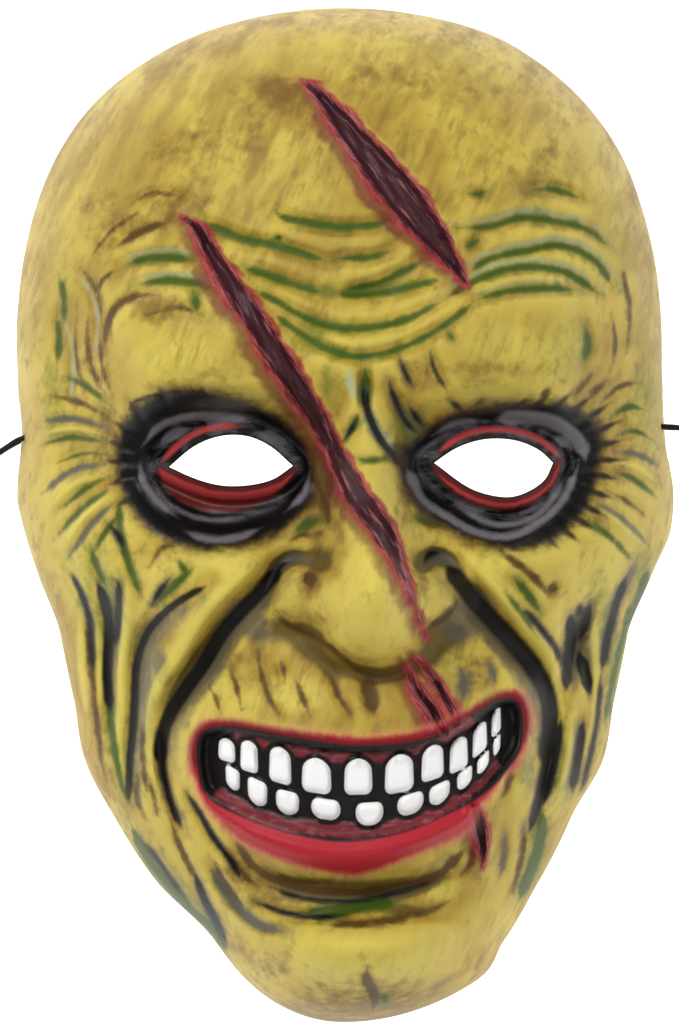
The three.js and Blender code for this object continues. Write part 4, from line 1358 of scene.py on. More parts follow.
@dataclass(frozen=True)
class HandPaintedVinyl:
    """Moulded vinyl, brushed and airbrushed by hand with satin acrylics: yellow, broken by washes, with
    painted highlights and painted shade laid in.

    The limits in its steps are millimetres inside an outline, or levels of a paint or a pattern.
    """

    dull: float = 0.55
    wet: float = 0.42
    peel_mm: float = 0.05
    specular: float = 0.25
    strand_stretch: float = 0.11
    strand_scales: tuple[float, float] = (0.7, 1.9)

    def build(self) -> bpy.types.Material:
        """Makes the material of the painted face."""
        material, p = new_material("hand painted vinyl")
        self.skin(p)
        self.hand_inks(p)
        fray = p.swing(2.6, 3)
        wet = self.eyes(p, fray)
        wet = p.math("MAXIMUM", wet, self.wounds(p, fray))
        wet = p.math("MAXIMUM", wet, self.mouth(p, fray))
        roughness = p.plus(self.dull, wet, self.wet - self.dull)
        roughness = p.plus(roughness, fray, 0.2)
        p.finish(roughness, p.noise(0.9, 3), self.peel_mm, self.specular)
        return material

    def skin(self, p: Painter) -> None:
        """Lays the yellow, its painted highlights and dry-brushed crests, its tan edge, the brown washes and
        the antique wash and painted shade in its hollows.
        """
        clouds, blots = p.noise(30, 3), p.noise(8, 5)
        smears = p.noise(7, 5, (1, 0.3, 0.3), 28)
        strokes = p.noise(2.4, 5, (1, 0.22, 0.3), 20)
        p.colour = p.blend(p.step(clouds, 0.38, 0.62), linear(Shade.OCHRE), linear(Shade.YELLOW))
        p.over(Shade.TAN, p.times(p.measure("edge"), p.step(blots, 0.1, 0.8, 0.75)))
        # painted highlight from the highlight patches and along the ridges
        light = p.plus(p.measure("light_mist"), p.centred(smears), 0.9)
        p.over(Shade.HIGHLIGHT_AND_DRYBRUSH, p.step(light, 0.1, 0.9, 0.85))
        p.over(Shade.WASH, p.times(p.step(smears, 0.4, 0.68, 0.75), p.measure("wash")))
        p.over(Shade.WASH, p.times(p.step(strokes, 0.42, 0.66, 0.6), p.step(blots, 0.36, 0.6)))
        # antique wash and painted shade gathered in the hollows
        deep = p.plus(p.measure("hollow"), p.centred(blots), 0.7)
        p.over(Shade.ANTIQUE_WASH_AND_SHADE, p.step(deep, 0.12, 1.1, 0.85))
        # dry-brushed yellow and painted highlight on the proud places
        p.over(Shade.HIGHLIGHT_AND_DRYBRUSH, p.step(p.measure("crest"), 0.1, 1.0, 0.6))

    def hand_inks(self, p: Painter) -> None:
        """Lays the soft mists of paint and then the brushed lines, each broken up by the brush; the light and
        pale ones are painted highlights, and the grey and brown mists are partly painted shade.
        """
        load = p.swing(14, 2)
        mottle = p.swing(4, 5)
        rough = p.plus(mottle, load, 0.6)
        mists = (
            # painted highlight along the wrinkles' upper edges
            ("pale", Shade.PALE, 0.9, 0.7),
            # brown wash and painted shade
            ("brown", Shade.UMBER_WASH_AND_SHADE, 1.5, 0.75),
            ("green", Shade.MOSS, 1.2, 0.75),
            # grey airbrush and painted shade
            ("grey", Shade.GREY_AIRBRUSH_AND_SHADE, 0.8, 0.85),
            ("black", Shade.AIRBRUSH, 0.6, 0.95),
        )
        for name, shade, broken, top in mists:
            level = p.plus(p.measure(f"{name}_mist"), rough, broken)
            p.over(shade, p.step(level, 0.12, 0.95, top))
        lines = (
            # painted highlight along the raised ridges
            ("light", Shade.HIGHLIGHT_AND_DRYBRUSH, 0.6, 0.6),
            # painted highlight in the pale strokes
            ("pale", Shade.PALE, 0.6, 0.6),
            ("brown", Shade.BROWN, 0.6, 0.85),
            ("green", Shade.GREEN, 0.45, 0.9),
            ("grey", Shade.GREY, 0.4, 0.8),
            ("black", Shade.BLACK, 0.25, 0.97),
        )
        for name, shade, broken, top in lines:
            level = p.plus(p.measure(name), rough, broken)
            p.over(shade, p.step(level, 0.16, 0.72, top))

    def eyes(self, p: Painter, fray: Value) -> Value:
        """Lays the airbrushed soot round the eyes, the grey paint and painted highlight on their ridges, the
        red lids and a painted shadow at the holes' edges.

        Args:
            p: the painter.
            fray: the pattern that frays an edge.

        Returns:
            How glossy the surface is there.
        """
        soot = p.plus(p.measure("smoke"), fray, 3.0)
        p.over(Shade.BROWN, p.step(soot, -3.4, 1.2, 0.8))
        solid = p.step(soot, -1.4, 1.8)
        p.over(Shade.SOOT, solid)
        # grey paint and painted highlight on the ridges round the eyes
        ridge = p.plus(p.measure("grey"), fray, 0.5)
        sooty = p.step(p.measure("smoke"), -0.5, 1.0)
        lids = p.times(p.step(p.noise(5, 4, (0.4, 1, 1)), 0.42, 0.64, 0.5), p.step(soot, 2.0, 4.5))
        p.over(Shade.LID_GREY_AND_HIGHLIGHT, p.times(lids, p.step(p.measure("hole"), -8.0, -5.0)))
        p.over(Shade.LID_GREY_AND_HIGHLIGHT, p.times(p.step(ridge, 0.15, 0.85, 0.9), sooty))
        lid = p.plus(p.measure("lid"), fray, 1.2)
        # dark red lids; next to the hole it is left as a painted shadow, and the red band lies on the lids'
        # ridge
        p.over(Shade.LID_DARK, p.step(lid, -0.8, 0.6))
        hole = p.plus(p.measure("hole"), fray, 0.8)
        rim = p.times(p.step(hole, -4.6, -3.2), p.step(hole, -1.2, -2.2))
        p.over(Shade.LID_RED, p.times(rim, p.step(lid, 0.0, 1.0, 0.95)))
        p.over(Shade.LID_RED, p.step(p.measure("red"), 0.2, 0.7, 0.8))
        # painted shadow: a black band just round each hole's edge
        p.over(Shade.SOOT, p.step(p.measure("hole"), -0.75, -0.2))
        return solid

    def wounds(self, p: Painter, fray: Value) -> Value:
        """Lays the raw margins, the dark cores and the torn strands of the wounds, whose pale strands are
        partly painted highlight.

        Args:
            p: the painter.
            fray: the pattern that frays an edge.

        Returns:
            How glossy the surface is there.
        """
        along = p.times(p.measure("along"), self.strand_stretch)
        strand = add_node(p.tree, "ShaderNodeCombineXYZ", {0: p.measure("across"), 1: along}).outputs[0]
        feeds = {"Vector": strand, "Detail": 3.0}
        torn, fine = (
            add_node(p.tree, "ShaderNodeTexNoise", feeds | {"Scale": scale}).outputs[0]
            for scale in self.strand_scales
        )
        swelling = p.swing(9, 2)
        raw = p.plus(p.measure("raw"), fray, 1.8)
        raw = p.plus(raw, swelling, 5.0)
        bruise = p.math("SUBTRACT", raw, p.times(p.measure("across"), 0.4))
        p.over(Shade.RAW_DARK, p.times(p.step(bruise, -2.6, 1.4, 0.75), p.step(raw, -4.4, -2.0)))
        p.over(Shade.RAW, p.step(raw, -0.7, 0.5, 0.8))
        sore = p.times(p.step(raw, -0.2, 0.5), p.step(raw, 1.8, 0.6, 0.9))
        p.over(Shade.FLESH, p.times(sore, p.step(p.noise(6, 3), 0.42, 0.66)))
        p.over(Shade.SINEW_AND_HIGHLIGHT, p.times(p.step(raw, 0.7, 1.8), p.step(torn, 0.4, 0.62, 0.8)))
        p.over(Shade.RAW_DARK, p.times(p.step(raw, 0.2, 1.4), p.step(fine, 0.42, 0.56, 0.9)))
        core = p.plus(p.measure("core"), fray, 1.6)
        core = p.plus(core, p.centred(fine), 2.4)
        p.over(Shade.CORE, p.step(core, -0.3, 0.7, 0.96))
        p.over(Shade.SINEW_AND_HIGHLIGHT, p.times(p.step(torn, 0.56, 0.68, 0.75), p.step(core, -1.0, 0.4)))
        return p.step(raw, 0.6, 1.8)

    def mouth(self, p: Painter, fray: Value) -> Value:
        """Lays the lips, the dark of the mouth, the gums and the teeth.

        Args:
            p: the painter.
            fray: the pattern that frays an edge.

        Returns:
            How glossy the surface is there.
        """
        upright = p.swing(1.3, 3, (1, 0.12, 0.3))
        lip = p.plus(p.measure("lip"), fray, 1.0)
        lip = p.plus(lip, upright, 1.6)
        feather = p.plus(lip, upright, 3.0)
        p.over(Shade.LIP_PINK, p.step(feather, -2.2, 0.8, 0.65))
        lip_cover = p.step(lip, -0.6, 1.4)
        p.over(Shade.LIP, lip_cover)
        p.over(Shade.LIP_DARK, p.times(p.step(p.measure("mouth"), -3.6, -0.8, 0.9), p.measure("upper_lip")))
        mouth = p.step(p.measure("mouth"), -0.9, 0.1)
        p.over(Shade.MOUTH, mouth)
        gum = p.step(p.plus(p.measure("gum"), fray, 3.4), -0.5, 1.1, 0.9)
        p.over(Shade.GUM, gum)
        # pale streaks on the gum, partly painted highlight
        p.over(Shade.SINEW_AND_HIGHLIGHT, p.times(gum, p.step(p.noise(2.4, 4, (0.5, 1, 1)), 0.52, 0.7, 0.6)))
        p.over(Shade.MOUTH, p.step(p.measure("tooth"), -1.9, -1.1))
        p.over(Shade.TOOTH, p.step(p.measure("tooth"), -0.25, 0.15))
        return p.math("MAXIMUM", p.times(lip_cover, 0.4), mouth)


@dataclass(frozen=True)
class BareVinyl:
    """Unpainted moulded vinyl: cream, smooth and slightly mottled, as the inside is left."""

    dull: float = 0.55
    peel_mm: float = 0.04

    def build(self) -> bpy.types.Material:
        """Makes the material of the inside, the rim and the cut edges."""
        material, p = new_material("bare vinyl")
        p.colour = p.blend(p.step(p.noise(18, 3), 0.3, 0.7, 0.3), linear(Shade.CREAM), linear(Shade.TAN))
        roughness = p.plus(self.dull, p.noise(5, 2), 0.1)
        p.finish(roughness, p.noise(1.2, 3), self.peel_mm)
        return material


@dataclass(frozen=True)
class BraidedElastic:
    """Round rubber elastic under a black polyester braid: dull, with fine crossing ribs."""

    rib_mm: float = 0.55
    ribs_a_scale: float = 20.0
    rib_high_mm: float = 0.12
    dull: float = 0.8

    def build(self) -> bpy.types.Material:
        """Makes the material of the cord and its knots."""
        material, p = new_material("braided elastic")
        scale = 1 / (self.ribs_a_scale * self.rib_mm * MM)
        feeds = {"Vector": p.place, "Scale": scale, "Distortion": 1.5, "Detail": 1.0}
        ribs = add_node(p.tree, "ShaderNodeTexWave", feeds, bands_direction="DIAGONAL").outputs["Fac"]
        p.colour = p.blend(p.times(ribs, 0.5), linear(Shade.ELASTIC), linear(Shade.SOOT))
        p.finish(p.plus(self.dull, ribs, 0.1), ribs, self.rib_high_mm)
        return material


@dataclass(frozen=True)
class PaleFloor:
    """A matt white studio floor with a soft glow of its own, so that the ground stays pale."""

    dull: float = 0.9
    glow: float = 0.9

    def build(self) -> bpy.types.Material:
        """Makes the floor's material."""
        material, p = new_material("pale studio floor")
        feeds = {"Base Color": linear(Shade.FLOOR), "Roughness": self.dull, "Emission Strength": self.glow}
        shader = add_node(p.tree, "ShaderNodeBsdfPrincipled", feeds | {"Emission Color": WHITE})
        add_node(p.tree, "ShaderNodeOutputMaterial", {"Surface": shader.outputs[0]})
        return material


# Modelling


def deselect_all() -> None:
    """Leaves object mode with nothing selected."""
    if bpy.context.object and bpy.context.object.mode != "OBJECT":
        bpy.ops.object.mode_set(mode="OBJECT")
    bpy.ops.object.select_all(action="DESELECT")


def coordinates(mesh: bpy.types.Mesh) -> Array:
    """Reads a mesh's points, one row each, in metres."""
    table = np.empty(len(mesh.vertices) * 3)
    mesh.vertices.foreach_get("co", table)
    return table.reshape(-1, 3)


def move_points(mesh: bpy.types.Mesh, points: Array) -> None:
    """Moves a mesh's points to new places in metres."""
    mesh.vertices.foreach_set("co", np.ascontiguousarray(points, dtype=np.float32).ravel())
    mesh.update()


def take_out(cutter: bpy.types.Object, solid: bpy.types.Object) -> None:
    """Cuts one solid out of another and clears the cutter away."""
    cut = solid.modifiers.new("cut", "BOOLEAN")
    cut.operation = "DIFFERENCE"
    cut.solver = "MANIFOLD"
    cut.object = cutter
    deselect_all()
    bpy.context.view_layer.objects.active = solid
    solid.select_set(True)
    bpy.ops.object.modifier_apply(modifier=cut.name)
    bpy.data.objects.remove(cutter)


def lay_bare(mesh: bpy.types.Mesh, first: int = 0) -> None:
    """Gives the faces from the first on the second material, which is the bare plastic."""
    index = np.empty(len(mesh.polygons), dtype=np.int32)
    mesh.polygons.foreach_get("material_index", index)
    index[first:] = 1
    mesh.polygons.foreach_set("material_index", index)


def on_edge(u: Array, v: Array) -> Array:
    """Tells which places lie on the edge of the square from -1 to 1."""
    return (np.abs(np.abs(u) - 1) < 1e-6) | (np.abs(np.abs(v) - 1) < 1e-6)


def square_sheet(name: str, rows: tuple[int, int]) -> tuple[bpy.types.Object, Array, Array]:
    """Lays out a flat square sheet from -1 to 1.

    Args:
        name: what it is called.
        rows: how many rows of faces it has across and up.

    Returns:
        The sheet, and where its points lie across and up.
    """
    deselect_all()
    bpy.ops.mesh.primitive_grid_add(x_subdivisions=rows[0], y_subdivisions=rows[1], size=2)
    sheet = bpy.context.object
    sheet.name = name
    flat = coordinates(sheet.data)
    return sheet, flat[:, 0], flat[:, 1]


@dataclass
class FaceShell:
    """The hollow face shell, painted outside and bare inside. Its lengths are in millimetres.

    Attributes:
        form: the outer form.
        outer_rows: the rows of faces of the outer wall, across and up.
        inner_rows: those of the inner wall.
        rim_crowding: how much the outer wall's rows close up towards the rim.
        middle_crowding: how much they close up towards the middle.
        inner_crowding: how much the inner wall's rows close up towards the rim.
        thinnest: the least wall under a crease.
        hole_radius: the radius of a cord hole.
        temple_high: the height of the cord holes above the rim.
        arch_long: the length of an ear arch.
        arch_high: the height of an ear arch.
        temples: for each side, -1 or 1, where its cord hole and ear arch lie, in percent of the height.
        slope_step: the step on the square over which the inner wall's slope is measured.
        lowest_inside: the least height of the inner wall above the rim.
        look_round: how far across and up the inner wall looks for the outer wall's lowest place.
        cut_from: the height at which the eye cuts start.
        cut_high: how tall they are.
        pin_long: the length of the pins that open the holes and the arches.
        wall_steps: how many places are tried when the wall is looked for.
        gathering: for each reach of surroundings, how strongly a wash and painted shade gather in its
            hollows.
        strongest: the most that a wash and painted shade gather, and that a dry brush and painted highlight
            touch.
    """

    form: FaceForm
    outer_rows: tuple[int, int] = (262, 330)
    inner_rows: tuple[int, int] = (72, 92)
    rim_crowding: float = 0.1
    middle_crowding: float = 0.24
    inner_crowding: float = 0.3
    thinnest: float = 1.3
    hole_radius: float = 1.2
    temple_high: float = 12.0
    arch_long: float = 20.0
    arch_high: float = 4.0
    temples: tuple[tuple[int, float], ...] = ((-1, 57.6), (1, 58.7))
    slope_step: float = 2e-3
    lowest_inside: float = 0.4
    look_round: tuple[float, float] = (2.4, 2.8)
    cut_from: float = 10.0
    cut_high: float = 1.2 * DEPTH
    pin_long: float = 20.0
    wall_steps: int = 800
    gathering: tuple[tuple[int, float], ...] = ((3, 0.55), (8, 0.16))
    strongest: float = 1.2

    def build(self) -> bpy.types.Object:
        """Models the shell, paints it and hands it over."""
        outer = self.outer_wall()
        inner = self.inner_wall()
        shell = self.closed(outer, inner)
        for name, lids in EYE_HOLES.items():
            take_out(self.prism(eye_outline(lids, steps=5), f"{name} eye cut"), shell)
        for side, y in self.temples:
            take_out(self.cord_hole(side, y), shell)
            take_out(self.ear_arch(side, y), shell)
        self.paint(shell)
        return shell

    def height(self, x: Array, y: Array) -> Array:
        """Gives the outer wall's height at places on the front view."""
        main, fade = self.form.main_form(x, y)
        return main + Features(x, y).relief * fade

    def outer_wall(self) -> bpy.types.Object:
        """Presses a fine sheet over the face."""
        wall, u, v = square_sheet("painted_face", self.outer_rows)
        crowded = (side - self.middle_crowding * np.sin(np.pi * side) / np.pi for side in (u, v))
        x, y = self.form.place(*crowded, self.rim_crowding)
        z = self.height(x, y)
        z[on_edge(u, v)] = 0
        move_points(wall.data, np.column_stack((x, y, z)) * MM)
        return wall

    def inner_wall(self) -> bpy.types.Object:
        """Presses a coarser sheet a wall's thickness inside the main form."""
        wall, u, v = square_sheet("inner wall", self.inner_rows)
        on_rim = on_edge(u, v)
        step = self.slope_step
        cu, cv = np.clip(u, 2 * step - 1, 1 - 2 * step), np.clip(v, 2 * step - 1, 1 - 2 * step)
        du = self.main_point(cu + step, cv) - self.main_point(cu - step, cv)
        dv = self.main_point(cu, cv + step) - self.main_point(cu, cv - step)
        normal = np.cross(du, dv)
        normal[on_rim, 2] = 0
        normal /= np.linalg.norm(normal, axis=1)[:, None]
        points = self.main_point(u, v) - WALL * normal
        lowest = self.lowest_near(points[:, 0], points[:, 1]) - self.thinnest
        held = np.maximum(np.minimum(points[:, 2], lowest), self.lowest_inside)
        points[:, 2] = np.where(on_rim, 0, held)
        move_points(wall.data, points * MM)
        bpy.ops.object.mode_set(mode="EDIT")
        bpy.ops.mesh.select_all(action="SELECT")
        bpy.ops.mesh.flip_normals()
        bpy.ops.object.mode_set(mode="OBJECT")
        return wall

    def lowest_near(self, x: Array, y: Array) -> Array:
        """Gives the outer wall's lowest height round places on the front view."""
        wide, high = self.look_round
        shifts = [(dx, dy) for dx in (-wide, 0, wide) for dy in (-high, 0, high)]
        return np.min([self.height(x + dx, y + dy) for dx, dy in shifts], axis=0)

    def main_point(self, u: Array, v: Array) -> Array:
        """Gives points of the main form, without the fine relief."""
        x, y = self.form.place(u, v, self.inner_crowding)
        z, _ = self.form.main_form(x, y)
        z = np.where((np.abs(u) >= 1) | (np.abs(v) >= 1), 0, z)
        return np.column_stack((x, y, z))

    def closed(self, outer: bpy.types.Object, inner: bpy.types.Object) -> bpy.types.Object:
        """Joins the two walls by a flat rim, all of it bare but the outside.

        Args:
            outer: the outer wall.
            inner: the inner wall.

        Returns:
            The closed shell.
        """
        painted, bare = HandPaintedVinyl().build(), BareVinyl().build()
        for wall in (outer, inner):
            wall.data.materials.append(painted)
            wall.data.materials.append(bare)
        lay_bare(inner.data)
        deselect_all()
        inner.select_set(True)
        outer.select_set(True)
        bpy.context.view_layer.objects.active = outer
        bpy.ops.object.join()
        bpy.ops.object.mode_set(mode="EDIT")
        bpy.ops.mesh.select_mode(type="EDGE")
        bpy.ops.mesh.select_all(action="DESELECT")
        bpy.ops.mesh.select_non_manifold()
        count = len(outer.data.polygons)
        bpy.ops.mesh.bridge_edge_loops()
        bpy.ops.object.mode_set(mode="OBJECT")
        lay_bare(outer.data, count)
        return outer

    @staticmethod
    def bare_cutter(cutter: bpy.types.Object) -> bpy.types.Object:
        """Gives a cutter the bare plastic, so that cut edges show it."""
        for name in ("hand painted vinyl", "bare vinyl"):
            cutter.data.materials.append(bpy.data.materials[name])
        lay_bare(cutter.data)
        return cutter

    def prism(self, outline: Array, name: str) -> bpy.types.Object:
        """Stands a tall block on an outline.

        Args:
            outline: its points on the front view, in millimetres.
            name: what it is called.

        Returns:
            The block.
        """
        deselect_all()
        bpy.ops.mesh.primitive_circle_add(vertices=len(outline), fill_type="NGON")
        block = bpy.context.object
        block.name = name
        low = np.column_stack((outline, np.full(len(outline), self.cut_from))) * MM
        move_points(block.data, low)
        bpy.ops.object.mode_set(mode="EDIT")
        bpy.ops.mesh.select_all(action="SELECT")
        bpy.ops.mesh.extrude_region_move(TRANSFORM_OT_translate={"value": (0, 0, self.cut_high * MM)})
        bpy.ops.mesh.select_all(action="SELECT")
        bpy.ops.mesh.normals_make_consistent(inside=False)
        bpy.ops.object.mode_set(mode="OBJECT")
        return self.bare_cutter(block)

    def wall_at(self, y: float, high: float, side: int) -> float:
        """Finds where the outer wall stands at a height above the rim.

        Args:
            y: the section, in percent of the height.
            high: the height above the rim.
            side: -1 for the left and 1 for the right.

        Returns:
            The place across, in millimetres.
        """
        across = np.linspace(0, 0.5 * WIDTH * side, self.wall_steps)
        tall, _ = self.form.main_form(across, np.full(self.wall_steps, to_y(y)))
        return float(across[np.nonzero(tall > high)[0][-1]])

    def lying_pin(
        self, side: int, y: float, seen_at: float, high: float, **shape: float | tuple[float, ...]
    ) -> bpy.types.Object:
        """Lays a short round pin across one side of the shell.

        Args:
            side: -1 for the left and 1 for the right.
            y: the section, in percent of the height.
            seen_at: the height above the rim at which it meets the wall.
            high: the height of its axis above the rim.
            shape: its radius in metres, its number of sides and its scale.

        Returns:
            The pin.
        """
        deselect_all()
        bpy.ops.mesh.primitive_cylinder_add(
            depth=self.pin_long * MM,
            rotation=(0, math.pi / 2, 0),
            location=(self.wall_at(y, seen_at, side) * MM, to_y(y) * MM, high * MM),
            **shape,
        )
        pin = bpy.context.object
        bpy.ops.object.transform_apply(location=True, rotation=True, scale=True)
        return self.bare_cutter(pin)

    def cord_hole(self, side: int, y: float) -> bpy.types.Object:
        """Makes the pin that opens one cord hole."""
        high = self.temple_high
        return self.lying_pin(side, y, high, high, vertices=24, radius=self.hole_radius * MM)

    def ear_arch(self, side: int, y: float) -> bpy.types.Object:
        """Makes the flat round block that opens one ear arch in the rim."""
        radius = self.arch_long / 2
        flat = (self.arch_high / radius, 1, 1)
        return self.lying_pin(side, y, 0.5, 0, vertices=48, radius=radius * MM, scale=flat)

    def paint(self, shell: bpy.types.Object) -> None:
        """Writes the face's measures into the shell, for its material to read."""
        mesh = shell.data
        points = coordinates(mesh) / MM
        x, y = points[:, 0], points[:, 1]
        features = Features(x, y)
        _, fade = self.form.main_form(x, y)
        measures = {ink.value: cover for ink, cover in features.paint.items()}
        measures |= {f"{ink.value}_mist": cover for ink, cover in features.mist.items() if ink is not Ink.RED}
        measures |= features.depths
        measures["edge"] = (1 - fade) * ease((y - to_y(35)) / 60)
        # the hollows get antique wash and painted shade, the crests dry brush and painted highlight
        measures["hollow"], measures["crest"] = self.hollows(x, y, fade)
        measures["wash"] = 0.35 + 0.65 * ease((y - to_y(60)) / 60)
        measures["upper_lip"] = ease((y - to_y(26.5) - 0.09 * x) / 6 + 0.5)
        for name, values in measures.items():
            layer = mesh.attributes.new(name, "FLOAT", "POINT")
            layer.data.foreach_set("value", np.ascontiguousarray(values, dtype=np.float32))
        deselect_all()
        shell.select_set(True)
        bpy.context.view_layer.objects.active = shell
        bpy.ops.object.shade_smooth_by_angle(angle=math.radians(70))
        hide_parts("mask_shell")
        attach(shell, "root")

    def hollows(self, x: Array, y: Array, fade: Array) -> tuple[Array, Array]:
        """Finds where a wash and painted shade gather and where a dry brush and painted highlight touch.

        Args:
            x: places across, in millimetres.
            y: places up, in millimetres.
            fade: how much relief shows there.

        Returns:
            How hollow and how proud each place is against its surroundings, from 0 to 1.
        """
        rows, columns = int(HEIGHT) + 1, int(WIDTH) + 3
        across, up = np.meshgrid(np.arange(columns) - columns / 2, np.arange(rows) - rows / 2)
        height = self.height(across.ravel(), up.ravel()).reshape(rows, columns)
        sunk = np.zeros_like(height)
        for reach, gain in self.gathering:
            sunk += gain * (blurred(height, reach) - height)
        c = np.clip(x + columns / 2, 0, columns - 1.001)
        r = np.clip(y + rows / 2, 0, rows - 1.001)
        i, j = r.astype(int), c.astype(int)
        s, t = r - i, c - j
        value = (1 - s) * ((1 - t) * sunk[i, j] + t * sunk[i, j + 1])
        value += s * ((1 - t) * sunk[i + 1, j] + t * sunk[i + 1, j + 1])
        return np.clip(value, 0, self.strongest) * fade, np.clip(-value, 0, self.strongest) * fade


CORD_ROUTE = (
    (-0.0872, 0.0216, 0.012), (-0.0902, 0.0214, 0.012), (-0.0946, 0.0189, 0.012),
    (-0.0979, 0.0166, 0.0104), (-0.0993, 0.0157, 0.0064), (-0.0979, 0.0166, 0.00245),
    (-0.0946, 0.0188, 0.00092), (-0.0902, 0.0212, 0.00092), (-0.0845, 0.0242, 0.00092),
    (-0.078, 0.0305, 0.00092), (-0.072, 0.04, 0.00092), (-0.0635, 0.051, 0.00092),
    (-0.051, 0.0595, 0.00092), (-0.036, 0.063, 0.00092), (-0.021, 0.061, 0.00092),
    (-0.009, 0.054, 0.00092), (0.003, 0.047, 0.00092), (0.018, 0.0455, 0.00092),
    (0.032, 0.051, 0.00092), (0.044, 0.0595, 0.00092), (0.057, 0.0625, 0.00092),
    (0.0675, 0.056, 0.00092), (0.0735, 0.045, 0.00092), (0.0775, 0.0345, 0.00092),
    (0.0825, 0.0276, 0.00092), (0.0885, 0.0248, 0.00092), (0.0935, 0.0244, 0.00092),
    (0.0975, 0.024, 0.00245), (0.0991, 0.0239, 0.0064), (0.0975, 0.024, 0.0104),
    (0.0935, 0.0244, 0.012), (0.0892, 0.0247, 0.012), (0.0861, 0.0247, 0.012),
)


@dataclass
class Elastic:
    """The thin round elastic from temple to temple and its two plain stop knots, in metres."""

    diameter: float = 0.0015
    length: float = 0.285
    knot_diameter: float = 0.0046
    turn_share: float = 0.17
    ball_share: float = 0.36
    knot_voxels: int = 28
    turn_tilt: float = 0.5

    def build(self) -> list[bpy.types.Object]:
        """Models the cord and its knots."""
        finish = BraidedElastic().build()
        knots = [self.knot(name, finish) for name in ("knot_left", "knot_right")]
        return [self.cord(finish, knots), *knots]

    def cord(self, finish: bpy.types.Material, knots: list[bpy.types.Object]) -> bpy.types.Object:
        """Lays the cord along its route.

        Args:
            finish: its material.
            knots: the knots at its ends; not used.

        Returns:
            The cord.
        """
        curve = bpy.data.curves.new("elastic", "CURVE")
        curve.dimensions = "3D"
        curve.bevel_depth = self.diameter / 2
        curve.bevel_resolution = 3
        curve.resolution_u = 8
        curve.use_fill_caps = True
        spline = curve.splines.new("BEZIER")
        spline.bezier_points.add(len(CORD_ROUTE) - 1)
        for point, place in zip(spline.bezier_points, CORD_ROUTE):
            point.co = place
            point.handle_left_type = point.handle_right_type = "AUTO"
        cord = bpy.data.objects.new("elastic", curve)
        bpy.context.scene.collection.objects.link(cord)
        cord.data.materials.append(finish)
        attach(cord, "root")
        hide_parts("elastic_cord")
        return cord

    def knot(self, node: str, finish: bpy.types.Material) -> bpy.types.Object:
        """Ties one plain stop knot where the CAD knot is.

        Args:
            node: the name of the CAD knot.
            finish: its material.

        Returns:
            The knot.
        """
        low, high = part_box(node)
        middle = (low + high) / 2
        thick = self.knot_diameter * self.turn_share
        deselect_all()
        turns = []
        for tilt in (-self.turn_tilt, self.turn_tilt):
            bpy.ops.mesh.primitive_torus_add(
                major_radius=self.knot_diameter / 2 - thick,
                minor_radius=thick,
                major_segments=36,
                minor_segments=12,
                location=middle,
                rotation=(tilt, math.pi / 2 + tilt / 2, 0),
            )
            turns.append(bpy.context.object)
        radius = self.knot_diameter * self.ball_share
        bpy.ops.mesh.primitive_uv_sphere_add(radius=radius, location=middle, segments=20, ring_count=12)
        ball = bpy.context.object
        for turn in turns:
            turn.select_set(True)
        bpy.ops.object.join()
        bpy.ops.object.transform_apply(location=True, rotation=True, scale=True)
        ball.name = node.replace("knot", "stop_knot")
        fuse = ball.modifiers.new("fuse", "REMESH")
        fuse.voxel_size = self.knot_diameter / self.knot_voxels
        bpy.ops.object.modifier_apply(modifier=fuse.name)
        bpy.ops.object.shade_smooth()
        ball.data.materials.clear()
        ball.data.materials.append(finish)
        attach(ball, "root")
        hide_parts(node)
        return ball


@dataclass(frozen=True)
class Lamp:
    """One soft square light: where it hangs, the length of its side and its power in watts."""

    name: str
    place: Point
    size: float
    power: float


LAMPS = (
    Lamp("key", (-0.7, 0.8, 1.4), 0.7, 19),
    Lamp("fill", (1.1, 0.1, 1.2), 1.0, 6),
    Lamp("low", (0.0, -1.2, 1.0), 1.0, 3),
)


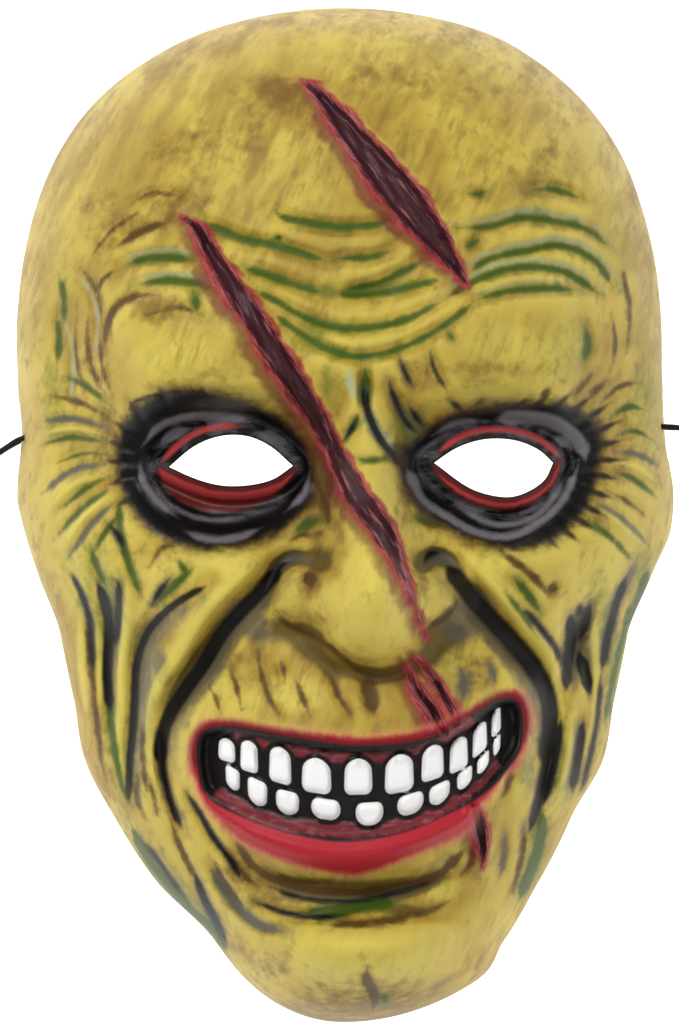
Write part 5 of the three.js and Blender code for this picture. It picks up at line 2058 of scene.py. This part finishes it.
@dataclass
class Studio:
    """The camera straight above the face, the pale floor and the soft lights, in metres."""

    distance: float = 6.0
    middle: Place = (-0.00153, 0.00042)
    view_height: float = 0.2876
    sensor_mm: float = 36.0
    sees_to: float = 50.0
    floor_size: float = 6.0
    room_light: float = 0.33

    def camera(self) -> None:
        """Hangs the camera over the face, turned so that the crown is up."""
        lens = bpy.data.cameras.new("camera")
        lens.sensor_width = self.sensor_mm
        lens.lens = self.sensor_mm * self.distance / self.view_height
        lens.clip_end = self.sees_to
        camera = bpy.data.objects.new("camera", lens)
        camera.location = (*self.middle, self.distance)
        bpy.context.scene.collection.objects.link(camera)
        bpy.context.scene.camera = camera

    def floor(self) -> None:
        """Lays the floor under the rim."""
        deselect_all()
        bpy.ops.mesh.primitive_plane_add(size=self.floor_size)
        floor = bpy.context.object
        floor.name = "studio_floor"
        floor.data.materials.append(PaleFloor().build())

    @staticmethod
    def light(lamp: Lamp) -> None:
        """Hangs one light, aimed at the middle of the rim."""
        data = bpy.data.lights.new(lamp.name, "AREA")
        data.size = lamp.size
        data.energy = lamp.power
        light = bpy.data.objects.new(lamp.name, data)
        light.location = lamp.place
        light.rotation_euler = light.location.to_track_quat("Z", "Y").to_euler()
        bpy.context.scene.collection.objects.link(light)

    def lights(self) -> None:
        """Hangs the lights and whitens the room."""
        for lamp in LAMPS:
            self.light(lamp)
        world = bpy.data.worlds.new("pale room")
        world.use_nodes = True
        room = world.node_tree.nodes["Background"].inputs
        room["Color"].default_value = WHITE
        room["Strength"].default_value = self.room_light
        bpy.context.scene.world = world
        bpy.context.scene.view_settings.view_transform = "Standard"


def main() -> None:
    """Builds the scene in order."""
    logging.basicConfig(level=logging.INFO, format="%(name)s: %(message)s")
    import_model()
    studio = Studio()
    studio.camera()
    for piece in Elastic().build():
        LOG.info("made %s", piece.name)
    shell = FaceShell(FaceForm()).build()
    LOG.info("made %s with %d faces", shell.name, len(shell.data.polygons))
    studio.floor()
    studio.lights()
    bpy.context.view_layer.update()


if __name__ == "__main__":
    main()
